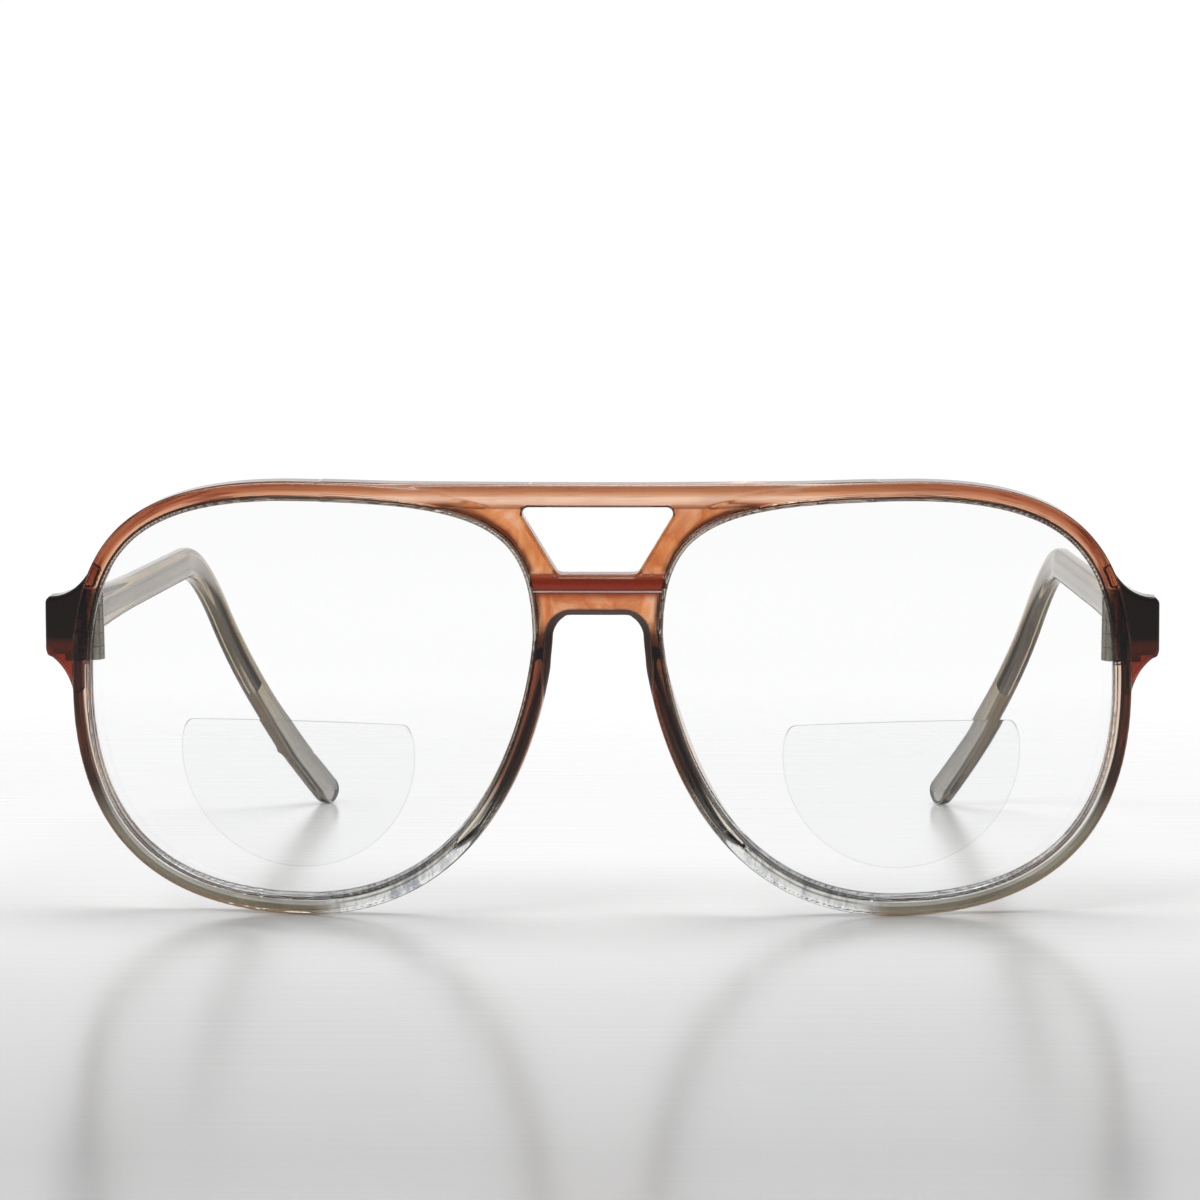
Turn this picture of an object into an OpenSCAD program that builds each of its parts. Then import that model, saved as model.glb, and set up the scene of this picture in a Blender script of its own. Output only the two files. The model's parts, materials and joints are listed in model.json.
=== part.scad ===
// Bifocal reading glasses. A moulded front with its nose pads in one piece, two lenses with a
// raised flat-top reading segment, two temples on core wires, and two five-knuckle hinges.
// Left and right are the wearer's. The wearer looks along -Y, and +Z is up.
// The front is drawn flat, x across and v up, and then lies on a sphere, its base curve.
// A third number, w, is the depth behind that sphere, towards the wearer.

/* [Rim outline] */
// From the centre line to the middle of the rim beside the nose
rim_nose_x = 6.9; // [6.2:0.1:8]
// Height at which the rim comes closest to the nose
rim_nose_v = 36.5; // [34:0.1:38]
// From the centre line to the rim's highest point
rim_top_x = 37.7; // [35:0.1:40]
// Height of the middle of the rim at its highest point
rim_top_v = 54.4; // [52:0.1:57]
// From the centre line to the middle of the rim at the temple side
rim_side_x = 66.3; // [64:0.1:68]
// Height at which the rim is widest
rim_side_v = 28.3; // [26:0.1:31]
// From the centre line to the rim's lowest point
rim_low_x = 38.5; // [36:0.1:41]
// Height of the middle of the rim at its lowest point
rim_low_v = 1.25; // [1.25:0.05:2]
// Squareness of the outline's upper corner at the temple side, upright half
pull_side_up = 0.65; // [0.5:0.01:0.75]
// Squareness of the same corner, level half
pull_top_out = 0.83; // [0.6:0.01:0.9]
// Squareness of the upper corner at the nose, level half
pull_top_in = 0.77; // [0.6:0.01:0.85]
// Squareness of the same corner, upright half
pull_nose_up = 0.83; // [0.6:0.01:0.9]
// Squareness of the lower corner at the nose, upright half
pull_nose_down = 0.03; // [0.02:0.01:0.2]
// Squareness of the same corner, level half
pull_low_in = 0.92; // [0.75:0.01:0.97]
// Squareness of the lower corner at the temple side, level half
pull_low_out = 0.65; // [0.5:0.01:0.75]
// Squareness of the same corner, upright half
pull_side_down = 0.69; // [0.5:0.01:0.8]

/* [Rim section] */
// Radius of the base curve that the whole front lies on
base_curve_r = 260; // [230:5:320]
// Lean of the front, its top towards -Y
tilt = 6; // [3:0.5:9]
// Width of the rim, seen from the front
rim_w = 2.5; // [2.3:0.1:3]
// Depth of the rim, front to back
rim_d = 3.8; // [3.5:0.1:4.4]
// Rounding of the rim's edges
rim_round = 0.7; // [0.4:0.1:0.9]

/* [Bridge] */
// Height of the brow bar
brow_h = 2.9; // [2.4:0.1:3.4]
// Width of the window under the brow bar, along its top
window_top_w = 18.8; // [15:0.1:20]
// Width of the window along its sill
window_sill_w = 10.6; // [8:0.1:12]
// Height of the window
window_h = 8.3; // [6:0.1:9]
// Radius of the window's corners
window_round = 0.8; // [0.4:0.1:1.2]
// Bevel round the front of the window
window_bevel = 0.8; // [0.4:0.1:1]
// Height of the raised bead along the lower bridge
bead_h = 1.6; // [1.2:0.1:2]
// Length of the bead
bead_w = 17.2; // [14:0.2:18]
// Step from the window's sill down to the bead
bead_drop = 0.4; // [0.2:0.1:0.8]
// Height of the top of the nose arch
arch_v = 39; // [38.6:0.1:40]
// Width of the flat top of the nose arch
arch_w = 8; // [5:0.1:9]
// How far the web between the bars lies behind the rims' front
web_recess = 0.5; // [0.3:0.1:0.9]

/* [Nose pads] */
// Furthest that a pad reaches behind the rim
pad_reach = 4.6; // [3:0.1:5.5]
// How far a pad leans away from the nose over that reach
pad_flare = 1; // [0.6:0.1:2]
// Radius of a pad's free edge
pad_edge_r = 0.75; // [0.6:0.05:1]
// Where a pad starts, as a share of the outline from the nose point to the lowest point
pad_from = 0.08; // [0.05:0.01:0.15]
// Where a pad ends, as a share of the same stretch
pad_to = 0.74; // [0.6:0.01:0.78]

/* [End pieces] */
// From the middle of the rim's side to the outer face of an end piece
end_reach = 4.9; // [4:0.1:5.5]
// Height of an end piece's upper corner
end_high_v = 39.3; // [38.8:0.1:41]
// Height of an end piece's lower corner
end_low_v = 33.2; // [31:0.1:33.4]
// Rise of an end piece's upper edge from that corner to the rim
end_rise = 1; // [0.6:0.1:1.2]
// Fall of its lower edge from the lower corner to the rim
end_fall = 2.5; // [2:0.1:4]
// Where the upper blend leaves the rim, as a share of the outline from the side to the top
blend_high = 0.36; // [0.32:0.01:0.4]
// Where the lower blend leaves it, as a share of the outline from the lowest point to the side
blend_low = 0.98; // [0.95:0.01:1]
// Radius of an end piece's corners
end_round = 0.9; // [0.5:0.1:1.2]

/* [Lenses] */
// Thickness of a lens
lens_t = 1.7; // [1.4:0.1:2]
// Depth of the groove that holds the lens, in from the rim's inner edge
groove_depth = 0.7; // [0.4:0.05:0.9]
// Clearance between a lens and its groove, on every side
groove_clearance = 0.08; // [0.04:0.01:0.15]

/* [Reading segments] */
// From the centre line to the middle of a reading segment
seg_x = 38.2; // [36:0.1:40]
// Width of a reading segment
seg_w = 30.2; // [25:0.1:31]
// Height of the ledge along the top of a segment
seg_top_v = 25.1; // [23:0.1:26]
// How far the middle of the segment's circle lies under its ledge
seg_drop = 3.8; // [2:0.1:5]
// Reading addition, in dioptres
add_power = 2; // [1:0.25:3]
// Refractive index of the lens
lens_index = 1.5; // [1.49:0.01:1.6]

/* [Hinges] */
// Height of the middle of the hinge above the foot of the front
hinge_v = 36; // [35.5:0.1:36.5]
// Height of one knuckle
knuckle_h = 1.7; // [1.5:0.05:1.8]
// Gap between two knuckles
knuckle_gap = 0.05; // [0.03:0.01:0.1]
// Radius of the knuckles
knuckle_r = 1.35; // [1.25:0.05:1.5]
// Radius of the hinge screw
screw_r = 0.7; // [0.6:0.05:0.8]
// Clearance round the screw in the knuckles
screw_clearance = 0.05; // [0.02:0.01:0.1]
// Radius of the screw's head
head_r = 1.1; // [1:0.05:1.2]
// Height of the screw's head
head_h = 0.6; // [0.5:0.05:0.8]
// Width of the driver slot
slot_w = 0.35; // [0.25:0.05:0.5]
// Thickness of a hinge leaf
leaf_t = 0.95; // [0.8:0.05:1.1]
// Length of the temple leaf along the temple
leaf_l = 9; // [7:0.5:11]
// Height of the temple leaf
leaf_h = 5; // [4:0.1:5.4]
// Depth of the front leaf's foot in the end piece
foot_d = 1.7; // [1.2:0.1:2]
// Width of that foot
foot_w = 1.55; // [1.2:0.05:1.8]
// Clearance of a leaf in its pocket
leaf_clearance = 0.04; // [0.02:0.01:0.1]
// From the temple's inner face to the hinge axis
axis_out = 2; // [1.8:0.05:2.3]
// Gap between the end piece and the temple when the glasses are open
butt_gap = 0.12; // [0.08:0.01:0.3]
// Clearance between the rims and the knuckles in front of them
relief = 0.22; // [0.15:0.01:0.3]

/* [Temples] */
// Thickness of a temple at the hinge
temple_t = 3.8; // [3.6:0.1:4]
// Height of a temple at the hinge
temple_h = 7.4; // [7:0.1:8]
// Thickness of a temple where it is slimmest
waist_t = 2.8; // [2.6:0.1:3.2]
// Height of a temple where it is slimmest
waist_h = 4.7; // [4.2:0.1:5.4]
// Thickness of a temple's tip
tip_t = 2.6; // [2.4:0.1:3.2]
// Height of a temple's tip
tip_h = 4.6; // [4:0.1:6]
// Straight length of a temple, from the hinge to the ear bend
temple_run = 76; // [70:1:82]
// Angle at which that length rises towards the ear
temple_rise = 3.5; // [2:0.5:5]
// Radius of the ear bend
bend_r = 30; // [24:1:36]
// Angle through which a temple turns down over the ear
bend_angle = 46; // [40:1:50]
// How far a temple comes in between the hinge and the ear bend
toe_in = 3; // [1:0.1:3.5]
// How far a temple comes in between the ear bend and its tip
tip_inset = 15; // [10:0.5:16]

/* [Core wires] */
// Thickness of a core wire
wire_t = 1.15; // [1:0.05:1.2]
// Height of a core wire
wire_h = 2.2; // [1.8:0.1:2.6]
// Clearance of a wire in its channel
wire_clearance = 0.06; // [0.03:0.01:0.1]
// How far a wire starts behind the temple's front face
wire_setback = 0.4; // [0.3:0.1:1]
// Where a wire ends, as a share of the run from the ear bend to the tip
wire_share = 0.4; // [0.2:0.05:0.6]

/* [Hidden] */

// Steps in each quarter of the outline, and the sides of small round forms
quarter_steps = 15;
bead_sides = 20;
ball_sides = 180;
round_sides = 52;
section_sides = 16;
pad_sides = 10;
// Margin for clean cuts, and a depth past everything on the front
margin = 2;
deep = 20;

// Middle of the base curve, and the sphere's depth at a place on the front
curve_v = (rim_top_v + rim_low_v) / 2;
function sag(x, v) = base_curve_r - sqrt(pow(base_curve_r, 2) - x * x - pow(v - curve_v, 2));

// The middle line of the left rim: four curves between its extreme points. Each leaves an
// extreme towards a corner of the box round the outline, as far as its two pulls say.
function curve(a, corner, b, pull_a, pull_b, t) =
  let (ha = a + pull_a * (corner - a), hb = b + pull_b * (corner - b), s = 1 - t)
  s * s * s * a + 3 * s * s * t * ha + 3 * s * t * t * hb + t * t * t * b;
side_pt = [rim_side_x, rim_side_v];
top_pt = [rim_top_x, rim_top_v];
nose_pt = [rim_nose_x, rim_nose_v];
low_pt = [rim_low_x, rim_low_v];
function side_leg(t) =
  curve(side_pt, [rim_side_x, rim_top_v], top_pt, pull_side_up, pull_top_out, t);
function nose_leg(t) =
  curve(nose_pt, [rim_nose_x, rim_low_v], low_pt, pull_nose_down, pull_low_in, t);
function foot_leg(t) =
  curve(low_pt, [rim_side_x, rim_low_v], side_pt, pull_low_out, pull_side_down, t);
function closed_line(shift) =
  let (share = [for (i = [0:quarter_steps - 1]) (i + shift) / quarter_steps]) concat(
    [for (t = share) side_leg(t)],
    [for (t = share)
      curve(top_pt, [rim_nose_x, rim_top_v], nose_pt, pull_top_in, pull_nose_up, t)],
    [for (t = share) nose_leg(t)],
    [for (t = share) foot_leg(t)]
  );
line_n = 4 * quarter_steps;
function outward(along) = [along[1], -along[0]] / norm(along);
function normals(line) = [
  for (i = [0:line_n - 1]) outward(line[(i + 1) % line_n] - line[(i + line_n - 1) % line_n])
];
rim_line = closed_line(0);
rim_normal = normals(rim_line);
// The lens opening, its groove and the lens share points halfway between those of the rim
lens_line = closed_line(0.5);
lens_normal = normals(lens_line);
function outline(grow) = [for (i = [0:line_n - 1]) lens_line[i] + grow * lens_normal[i]];

// Section of the rim, as [outward, depth], its front edges more rounded than its back ones
half_w = rim_w / 2;
back_round = rim_round / 2;
edge_cut = 0.3;
// The rim starts a little too wide on the inside, and the lens opening trims it
trim = 0.15;
stock = half_w + trim;
rim_section = [
  [-stock + back_round, 0], [half_w - rim_round, 0],
  [half_w - edge_cut * rim_round, edge_cut * rim_round], [half_w, rim_round],
  [half_w, rim_d - back_round], [half_w - back_round, rim_d],
  [-stock + back_round, rim_d], [-stock, rim_d - back_round], [-stock, back_round]
];

// Bridge: the brow bar just under the rims' top, the window, the bead and the web
brow_set = 0.1;
brow_top_v = rim_top_v + half_w - brow_set;
window_top_v = brow_top_v - brow_h;
window_sill_v = window_top_v - window_h;
bead_v = window_sill_v - bead_drop - bead_h / 2;
brow_reach = rim_top_x - brow_h;
chamfer = 0.35;
// How far the bars and the end pieces lie behind the rims' front
bar_set = 0.2;
end_set = 0.3;
// End pieces, and the steps of the curves that blend them into the rims
end_x = rim_side_x + end_reach;
blend_steps = 5;
// Where a blend's control point lies, out from the rim's side and past the end piece's edge
blend_high_out = [0.1, 0.7];
blend_low_out = [1.6, 1.7];
// How far a pad's ribs lie inside the rim's faces
pad_set = 0.1;

// Lenses and the groove that holds them
lens_w0 = (rim_d - lens_t) / 2;
lens_grow = groove_depth - groove_clearance - half_w;
opening_end = rim_d + 0.3;
seg_r = seg_w / 2;
seg_v = seg_top_v - seg_drop;
// A lens surface of power P has a curvature of P / (index - 1) per metre
seg_curve_r = 1 / (1 / base_curve_r + add_power / (lens_index - 1) / 1000);

// Hinge: its axis stands in the plane where end piece and temple meet
temple_set = 0.2;
temple_face = end_x - temple_set;
temple_x = temple_face - temple_t / 2;
axis_x = temple_face - temple_t - axis_out;
butt_w = sag(axis_x, hinge_v) + rim_d + knuckle_r + relief / 2;
knuckle_pitch = knuckle_h + knuckle_gap;
hinge_h = 5 * knuckle_h + 4 * knuckle_gap;
foot_set = 0.1;
foot_x = axis_x + knuckle_r + relief + foot_set;
// Gap between a leaf's strap and that plane, and the strap's lap on its leaf
strap_set = 0.15;
strap_lap = 0.3;

// Stance: the lowest point of the tilted front lies at z = 0, and y is centred on the box
lift = -(sag(rim_low_x, rim_low_v) + rim_round) * sin(tilt) + (half_w - rim_low_v) * cos(tilt);
function world(x, w, v) = [x, w * cos(tilt) - v * sin(tilt), w * sin(tilt) + v * cos(tilt) + lift];
butt = world(temple_x, butt_w + butt_gap, hinge_v);

// Temple: a run that rises a little, the ear bend, and a run down to where the tip meets the ground
bend_l = bend_r * (bend_angle + temple_rise) * PI / 180;
bend_end = temple_run + bend_l;
function bend_height(p) = bend_r * (cos(p) - cos(temple_rise));
function bend_length(p) = bend_r * (sin(p) + sin(temple_rise));
bend_start_z = butt[2] + temple_run * sin(temple_rise);
drop_l = (bend_start_z + bend_height(bend_angle) - tip_h / 2) / sin(bend_angle);
temple_l = bend_end + drop_l;
tip_y = butt[1] + temple_run * cos(temple_rise) + bend_length(bend_angle)
  + drop_l * cos(bend_angle) + tip_h / 2;
brow_y = world(0, sag(0, brow_top_v) + bar_set, brow_top_v)[1];
mid_y = (tip_y + brow_y) / 2;

function pitch_at(s) = -temple_rise
  + (bend_angle + temple_rise) * min(1, max(0, s - temple_run) / bend_l);
function height_at(s) = butt[2] + min(s, temple_run) * sin(temple_rise) + bend_height(pitch_at(s))
  - max(0, s - bend_end) * sin(bend_angle);
function length_at(s) = butt[1] + min(s, temple_run) * cos(temple_rise) + bend_length(pitch_at(s))
  + max(0, s - bend_end) * cos(bend_angle);
function inset_at(s) = toe_in * min(1, s / temple_run)
  + tip_inset * pow(max(0, s - temple_run) / (temple_l - temple_run), 2);
function yaw_at(s) = atan2(inset_at(s + 0.5) - inset_at(s - 0.5), 1);
// Sizes along the temple: hinge end, waist before the bend, paddle-shaped tip
waist_share = 0.55;
waist_s = temple_run * waist_share;
function blend(s, a, b, c) = s < waist_s
  ? a + (b - a) * sin(90 * s / waist_s)
  : b + (c - b) * pow(sin(90 * min(1, (s - waist_s) / (temple_l - waist_s))), 2);
// Stations: along the run, round the bend, down the drop and over the rounded tip
run_at = [0, 0.12, 0.3, 0.55, 0.8];
bend_at = [0, 0.17, 0.33, 0.5, 0.67, 0.83];
drop_at = [0, 0.2, 0.4, 0.6, 0.8, 1];
tip_cap = [0.4, 0.7, 0.9, 0.99];
tip_bluntness = 0.3;
stations = concat(
  temple_run * run_at,
  [for (t = bend_at) temple_run + t * bend_l],
  [for (t = drop_at) bend_end + t * drop_l]
);
wire_end = bend_end + wire_share * drop_l;
wire_stations = concat([for (s = stations) if (s > 0 && s < wire_end - 1) s], [wire_end]);

// A flattened oval section: a superellipse, squarer than an ellipse
squareness = 0.62;
function pull(c) = sign(c) * pow(abs(c), squareness);
function oval(w, h) = [
  for (i = [0:section_sides - 1])
    let (a = 360 * i / section_sides) [w / 2 * pull(cos(a)), -h / 2 * pull(sin(a))]
];

// Placing: from the front's own frame to the world, and one side from the other
module on_front() {
  translate([0, -mid_y, lift]) rotate([tilt, 0, 0]) children();
}
module side(left) {
  mirror([left ? 0 : 1, 0, 0]) children();
}

// Solids that follow the base curve
module ball(w) {
  translate([0, base_curve_r + w, curve_v]) sphere(base_curve_r, $fn = ball_sides);
}
module prism(points, w0, w1) {
  translate([0, w1, 0]) rotate([90, 0, 0]) linear_extrude(w1 - w0) polygon(points);
}
module curved_plate(points, w0, w1) {
  difference() {
    intersection() {
      prism(points, w0 - margin, w1 + deep);
      ball(w0);
    }
    ball(w1);
  }
}
// A round post along the depth, chamfered at both ends
module post(x, v, r, y0, y1) {
  translate([x, y0, v]) rotate([-90, 0, 0]) {
    cylinder(h = y1 - y0, r = r - chamfer, $fn = bead_sides);
    translate([0, 0, chamfer]) cylinder(h = y1 - y0 - 2 * chamfer, r = r, $fn = bead_sides);
  }
}
// Two triangles for each side of each ring, from one ring to the next
function skin_faces(rings, sides, first = 0, closed = false) = [
  for (i = [0:rings - (closed ? 1 : 2)], j = [0:sides - 1], upper = [0, 1])
    let (
      a = first + i * sides + j,
      b = first + i * sides + (j + 1) % sides,
      c = first + (i + 1) % rings * sides + (j + 1) % sides,
      d = first + (i + 1) % rings * sides + j
    ) upper == 0 ? [a, c, b] : [a, d, c]
];
function flipped(faces) = [for (f = faces) [f[2], f[1], f[0]]];
function count_up(first, n) = [for (i = [0:n - 1]) first + i];
function count_down(first, n) = [for (i = [n - 1:-1:0]) first + i];
module skin(rings) {
  n = len(rings);
  m = len(rings[0]);
  faces = concat(skin_faces(n, m), [count_up(0, m), count_down((n - 1) * m, m)]);
  polyhedron([for (ring = rings, p = ring) p], faces, convexity = 4);
}

// A bar across the bridge with chamfered edges, bent to the base curve
module curved_bar(reach, v, h, steps) {
  c = chamfer;
  w0 = bar_set;
  w1 = rim_d - bar_set;
  section = [
    [-h / 2, w0 + c], [-h / 2 + c, w0], [h / 2 - c, w0], [h / 2, w0 + c],
    [h / 2, w1 - c], [h / 2 - c, w1], [-h / 2 + c, w1], [-h / 2, w1 - c]
  ];
  skin([
    for (i = [0:steps])
      let (x = reach * (1 - 2 * i / steps)) [for (p = section) [x, sag(x, v) + p[1], v + p[0]]]
  ]);
}

module rim() {
  points = [
    for (i = [0:line_n - 1], p = rim_section)
      let (q = rim_line[i] + p[0] * rim_normal[i]) [q[0], sag(q[0], q[1]) + p[1], q[1]]
  ];
  polyhedron(points, skin_faces(line_n, len(rim_section), closed = true), convexity = 8);
}

// The web fills the bridge between the rims, the brow bar and the nose arch
module web() {
  shoulder = [for (p = outline(0)) if (p[0] < brow_reach && p[1] > rim_nose_v) p];
  half = concat(
    [[brow_reach, brow_top_v - 2 * chamfer]],
    shoulder,
    [nose_pt, [rim_nose_x - half_w + chamfer, rim_nose_v], [arch_w / 2, arch_v]]
  );
  other = [for (i = [len(half) - 1:-1:0]) [-half[i][0], half[i][1]]];
  curved_plate(concat(half, other), web_recess, rim_d - web_recess);
}

module post_cut(x, v, r, y0, y1) {
  translate([x, y0, v]) rotate([-90, 0, 0]) cylinder(h = y1 - y0, r = r, $fn = bead_sides);
}
module window(grow, y0, y1) {
  r = window_round + grow;
  hull() {
    for (s = [-1, 1]) {
      post_cut(s * (window_top_w / 2 - window_round), window_top_v - window_round, r, y0, y1);
      post_cut(s * (window_sill_w / 2 - window_round), window_sill_v + window_round, r, y0, y1);
    }
  }
}
module window_cut() {
  front = sag(0, window_top_v) + web_recess;
  window(0, -margin, rim_d + margin);
  hull() {
    translate([0, 0, window_bevel - bead_drop / 2])
      window(window_bevel, front - margin / 2, front);
    window(0, front, front + window_bevel);
  }
}

// One pad: ribs from the rim to its free edge, skinned one to the next down the nose leg
module nose_pad() {
  ribs = 9;
  root_r = half_w - 2.5 * pad_set;
  function rib_t(i) = pad_from + (pad_to - pad_from) * i / ribs;
  module rib(i) {
    swell = sqrt(sin(180 * i / ribs));
    t = rib_t(i);
    normal = outward(nose_leg(t + 0.01) - nose_leg(t - 0.01));
    root = nose_leg(t) + (half_w - root_r - pad_set) * normal;
    edge = nose_leg(t) + (half_w - pad_edge_r - pad_set - pad_flare * swell) * normal;
    depth = rim_d - pad_edge_r - pad_set + pad_reach * swell;
    translate([root[0], sag(root[0], root[1]) + rim_d - root_r - 2 * pad_set, root[1]])
      sphere(root_r, $fn = pad_sides);
    translate([edge[0], sag(edge[0], edge[1]) + depth, edge[1]])
      sphere(pad_edge_r, $fn = pad_sides);
  }
  for (i = [0:ribs - 1]) hull() {
    rib(i);
    rib(i + 1);
  }
}

// An end piece grows out of the rim in two hollow curves, and ends in a flat face that the temple
// butts against
function bow(a, c, b) = [
  for (i = [0:blend_steps])
    let (t = i / blend_steps) (1 - t) * (1 - t) * a + 2 * t * (1 - t) * c + t * t * b
];
module end_piece() {
  inner_x = rim_side_x + end_round;
  outer_x = end_x - end_round;
  corners = [
    [inner_x, end_high_v + end_rise], [outer_x, end_high_v],
    [outer_x, end_low_v], [inner_x, end_low_v - end_fall]
  ];
  hull() {
    for (p = corners) post(p[0], p[1], end_round, sag(p[0], p[1]) + end_set, butt_w);
  }
  high = side_leg(blend_high);
  low = foot_leg(blend_low);
  high_out = half_w * outward(side_leg(blend_high + 0.01) - side_leg(blend_high - 0.01));
  low_out = half_w * outward(foot_leg(blend_low) - foot_leg(blend_low - 0.01));
  top_v = end_high_v + end_round;
  foot_v = end_low_v - end_round;
  curved_plate(concat(
    [low],
    [side_leg(blend_high / 2), high],
    bow(high + high_out, [rim_side_x + blend_high_out[0], top_v + blend_high_out[1]],
      [outer_x - end_round, top_v]),
    bow([outer_x, foot_v], [rim_side_x + blend_low_out[0], foot_v - blend_low_out[1]],
      low + low_out)
  ), end_set, rim_d - end_set);
}

// What the lens takes out of the front: its opening, and the groove round it
module lens_room() {
  curved_plate(outline(-half_w), -margin, opening_end);
  curved_plate(
    outline(groove_depth - half_w),
    lens_w0 - groove_clearance,
    lens_w0 + lens_t + groove_clearance
  );
}
module hinge_room() {
  head_room = head_h + relief;
  translate([axis_x, butt_w, hinge_v - hinge_h / 2 - relief])
    cylinder(h = hinge_h + 2 * relief + head_room, r = knuckle_r + relief, $fn = round_sides);
  c = leaf_clearance;
  strap_d = leaf_t + strap_set;
  translate([0, butt_w, hinge_v - hinge_h / 2 - c]) {
    translate([axis_x, -strap_d - c, 0])
      cube([foot_x - axis_x + foot_w / 2, strap_d + margin, hinge_h + 2 * c]);
    translate([foot_x - c, -foot_d - c, 0])
      cube([foot_w + 2 * c, foot_d + margin, hinge_h + 2 * c]);
  }
}

module front_frame() {
  color("#8a4a2c") on_front() difference() {
    union() {
      web();
      curved_bar(brow_reach, brow_top_v - brow_h / 2, brow_h, 8);
      curved_bar((bead_w - bead_h) / 2, bead_v, bead_h, 2);
      for (left = [true, false]) side(left) {
        rim();
        nose_pad();
        end_piece();
      }
    }
    window_cut();
    for (left = [true, false]) side(left) {
      lens_room();
      hinge_room();
    }
  }
}

// A lens: two parallel spherical faces, and a steeper cap that rises to the segment's ledge
module lens(left) {
  // Unit line from the middle of the front sphere to the middle of the segment
  reach = [seg_x, sag(seg_x, seg_v) - base_curve_r, seg_v - curve_v] / base_curve_r;
  centre = [0, base_curve_r + lens_w0, curve_v]
    + reach * (sqrt(pow(base_curve_r, 2) - pow(seg_r, 2)) - sqrt(pow(seg_curve_r, 2) - pow(seg_r, 2)));
  color("#dfe8e6", 0.4) on_front() side(left) difference() {
    intersection() {
      prism(outline(lens_grow), -margin, deep);
      union() {
        ball(lens_w0);
        intersection() {
          translate(centre) sphere(seg_curve_r, $fn = ball_sides);
          translate([seg_x - seg_w, -2 * margin, seg_top_v - seg_w])
            cube([2 * seg_w, deep, seg_w]);
        }
      }
    }
    ball(lens_w0 + lens_t);
  }
}

// A ring of the temple or its wire, square to the path at a distance along it. The first ring
// leans with the front, because it lies against the end piece.
function ring(s, w, h, lean) = let (p = lean ? -tilt : pitch_at(s), y = lean ? 0 : yaw_at(s)) [
  for (q = oval(w, h)) [
    temple_x - inset_at(s) + q[0] * cos(y) - q[1] * sin(p) * sin(y),
    length_at(s) - mid_y + q[0] * sin(y) + q[1] * sin(p) * cos(y),
    height_at(s) + q[1] * cos(p)
  ]
];
temple_rings = concat(
  [for (s = stations)
    ring(s, blend(s, temple_t, waist_t, tip_t), blend(s, temple_h, waist_h, tip_h), s == 0)],
  [for (t = tip_cap)
    ring(temple_l + t * tip_h / 2, tip_t * pow(1 - t * t, tip_bluntness), tip_h * sqrt(1 - t * t), false)]
);
function wire_rings(grow, start) = [
  for (s = concat([start], wire_stations))
    let (over = s == wire_end ? grow : 0)
      ring(s + over, wire_t + 2 * grow, wire_h + 2 * grow, s == start)
];
module temple_body() {
  channel = wire_rings(wire_clearance, 0);
  m = section_sides;
  n = len(temple_rings);
  k = len(channel);
  faces = concat(
    skin_faces(n, m),
    [count_down((n - 1) * m, m)],
    flipped(skin_faces(k, m, first = n * m)),
    [count_up((n + k - 1) * m, m)],
    flipped([for (j = [0:m - 1], upper = [0, 1])
      let (a = j, b = (j + 1) % m, c = n * m + (j + 1) % m, d = n * m + j)
        upper == 0 ? [a, c, b] : [a, d, c]])
  );
  polyhedron([for (r = concat(temple_rings, channel), p = r) p], faces, convexity = 4);
}

// The temple leaf: a plate let into the temple's inner face, along the temple, and the straps
// that join it to its knuckles
module leaf_plate(c) {
  translate([temple_face - temple_t - strap_set, butt_w + butt_gap + strap_set, hinge_v])
    rotate([temple_rise - tilt, 0, 0]) translate([-c, -c, -leaf_h / 2 - c])
      cube([leaf_t + strap_set + 2 * c, leaf_l + 2 * c, leaf_h + 2 * c]);
}
module leaf_strap(k, c) {
  z = hinge_v - hinge_h / 2 + k * knuckle_pitch;
  translate([axis_x, butt_w + butt_gap + strap_set - c, z - c])
    cube([axis_out + strap_lap + c, leaf_t + 2 * c, knuckle_h + 2 * c]);
}
module temple(left) {
  color("#6f6a5a") side(left) difference() {
    temple_body();
    on_front() {
      leaf_plate(leaf_clearance);
      for (k = [1, 3]) leaf_strap(k, leaf_clearance);
    }
  }
}
module core_wire(left) {
  color("#4a4640") side(left) skin(wire_rings(0, wire_setback));
}

// Knuckles are counted from the bottom. The front leaf has the odd ones, the temple leaf the even.
module knuckle(k) {
  translate([axis_x, butt_w, hinge_v - hinge_h / 2 + k * knuckle_pitch]) difference() {
    children();
    translate([0, 0, -margin])
      cylinder(h = knuckle_h + 2 * margin, r = screw_r + screw_clearance, $fn = round_sides);
  }
}
module barrel() {
  cylinder(h = knuckle_h, r = knuckle_r, $fn = round_sides);
}
module front_hinge_leaf(left) {
  strap = foot_x - axis_x + strap_lap;
  color("#b9b4a8") on_front() side(left) {
    for (k = [0, 2, 4]) knuckle(k) {
      barrel();
      translate([0, -leaf_t - strap_set, 0]) cube([strap, leaf_t, knuckle_h]);
    }
    translate([foot_x, butt_w - foot_d, hinge_v - hinge_h / 2]) cube([foot_w, foot_d, hinge_h]);
  }
}
module temple_hinge_leaf(left) {
  strap = axis_out + strap_lap;
  color("#b9b4a8") on_front() side(left) {
    for (k = [1, 3]) knuckle(k) {
      barrel();
      translate([0, butt_gap + strap_set, 0]) cube([strap, leaf_t, knuckle_h]);
    }
    leaf_plate(0);
  }
}
module hinge_screw(left) {
  color("#cfcabd") on_front() side(left) translate([axis_x, butt_w, hinge_v - hinge_h / 2]) {
    cylinder(h = hinge_h, r = screw_r, $fn = round_sides);
    translate([0, 0, hinge_h]) difference() {
      cylinder(h = head_h, r = head_r, $fn = round_sides);
      translate([-margin, -slot_w / 2, head_h / 2]) cube([2 * margin, slot_w, head_h]);
    }
  }
}

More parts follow.
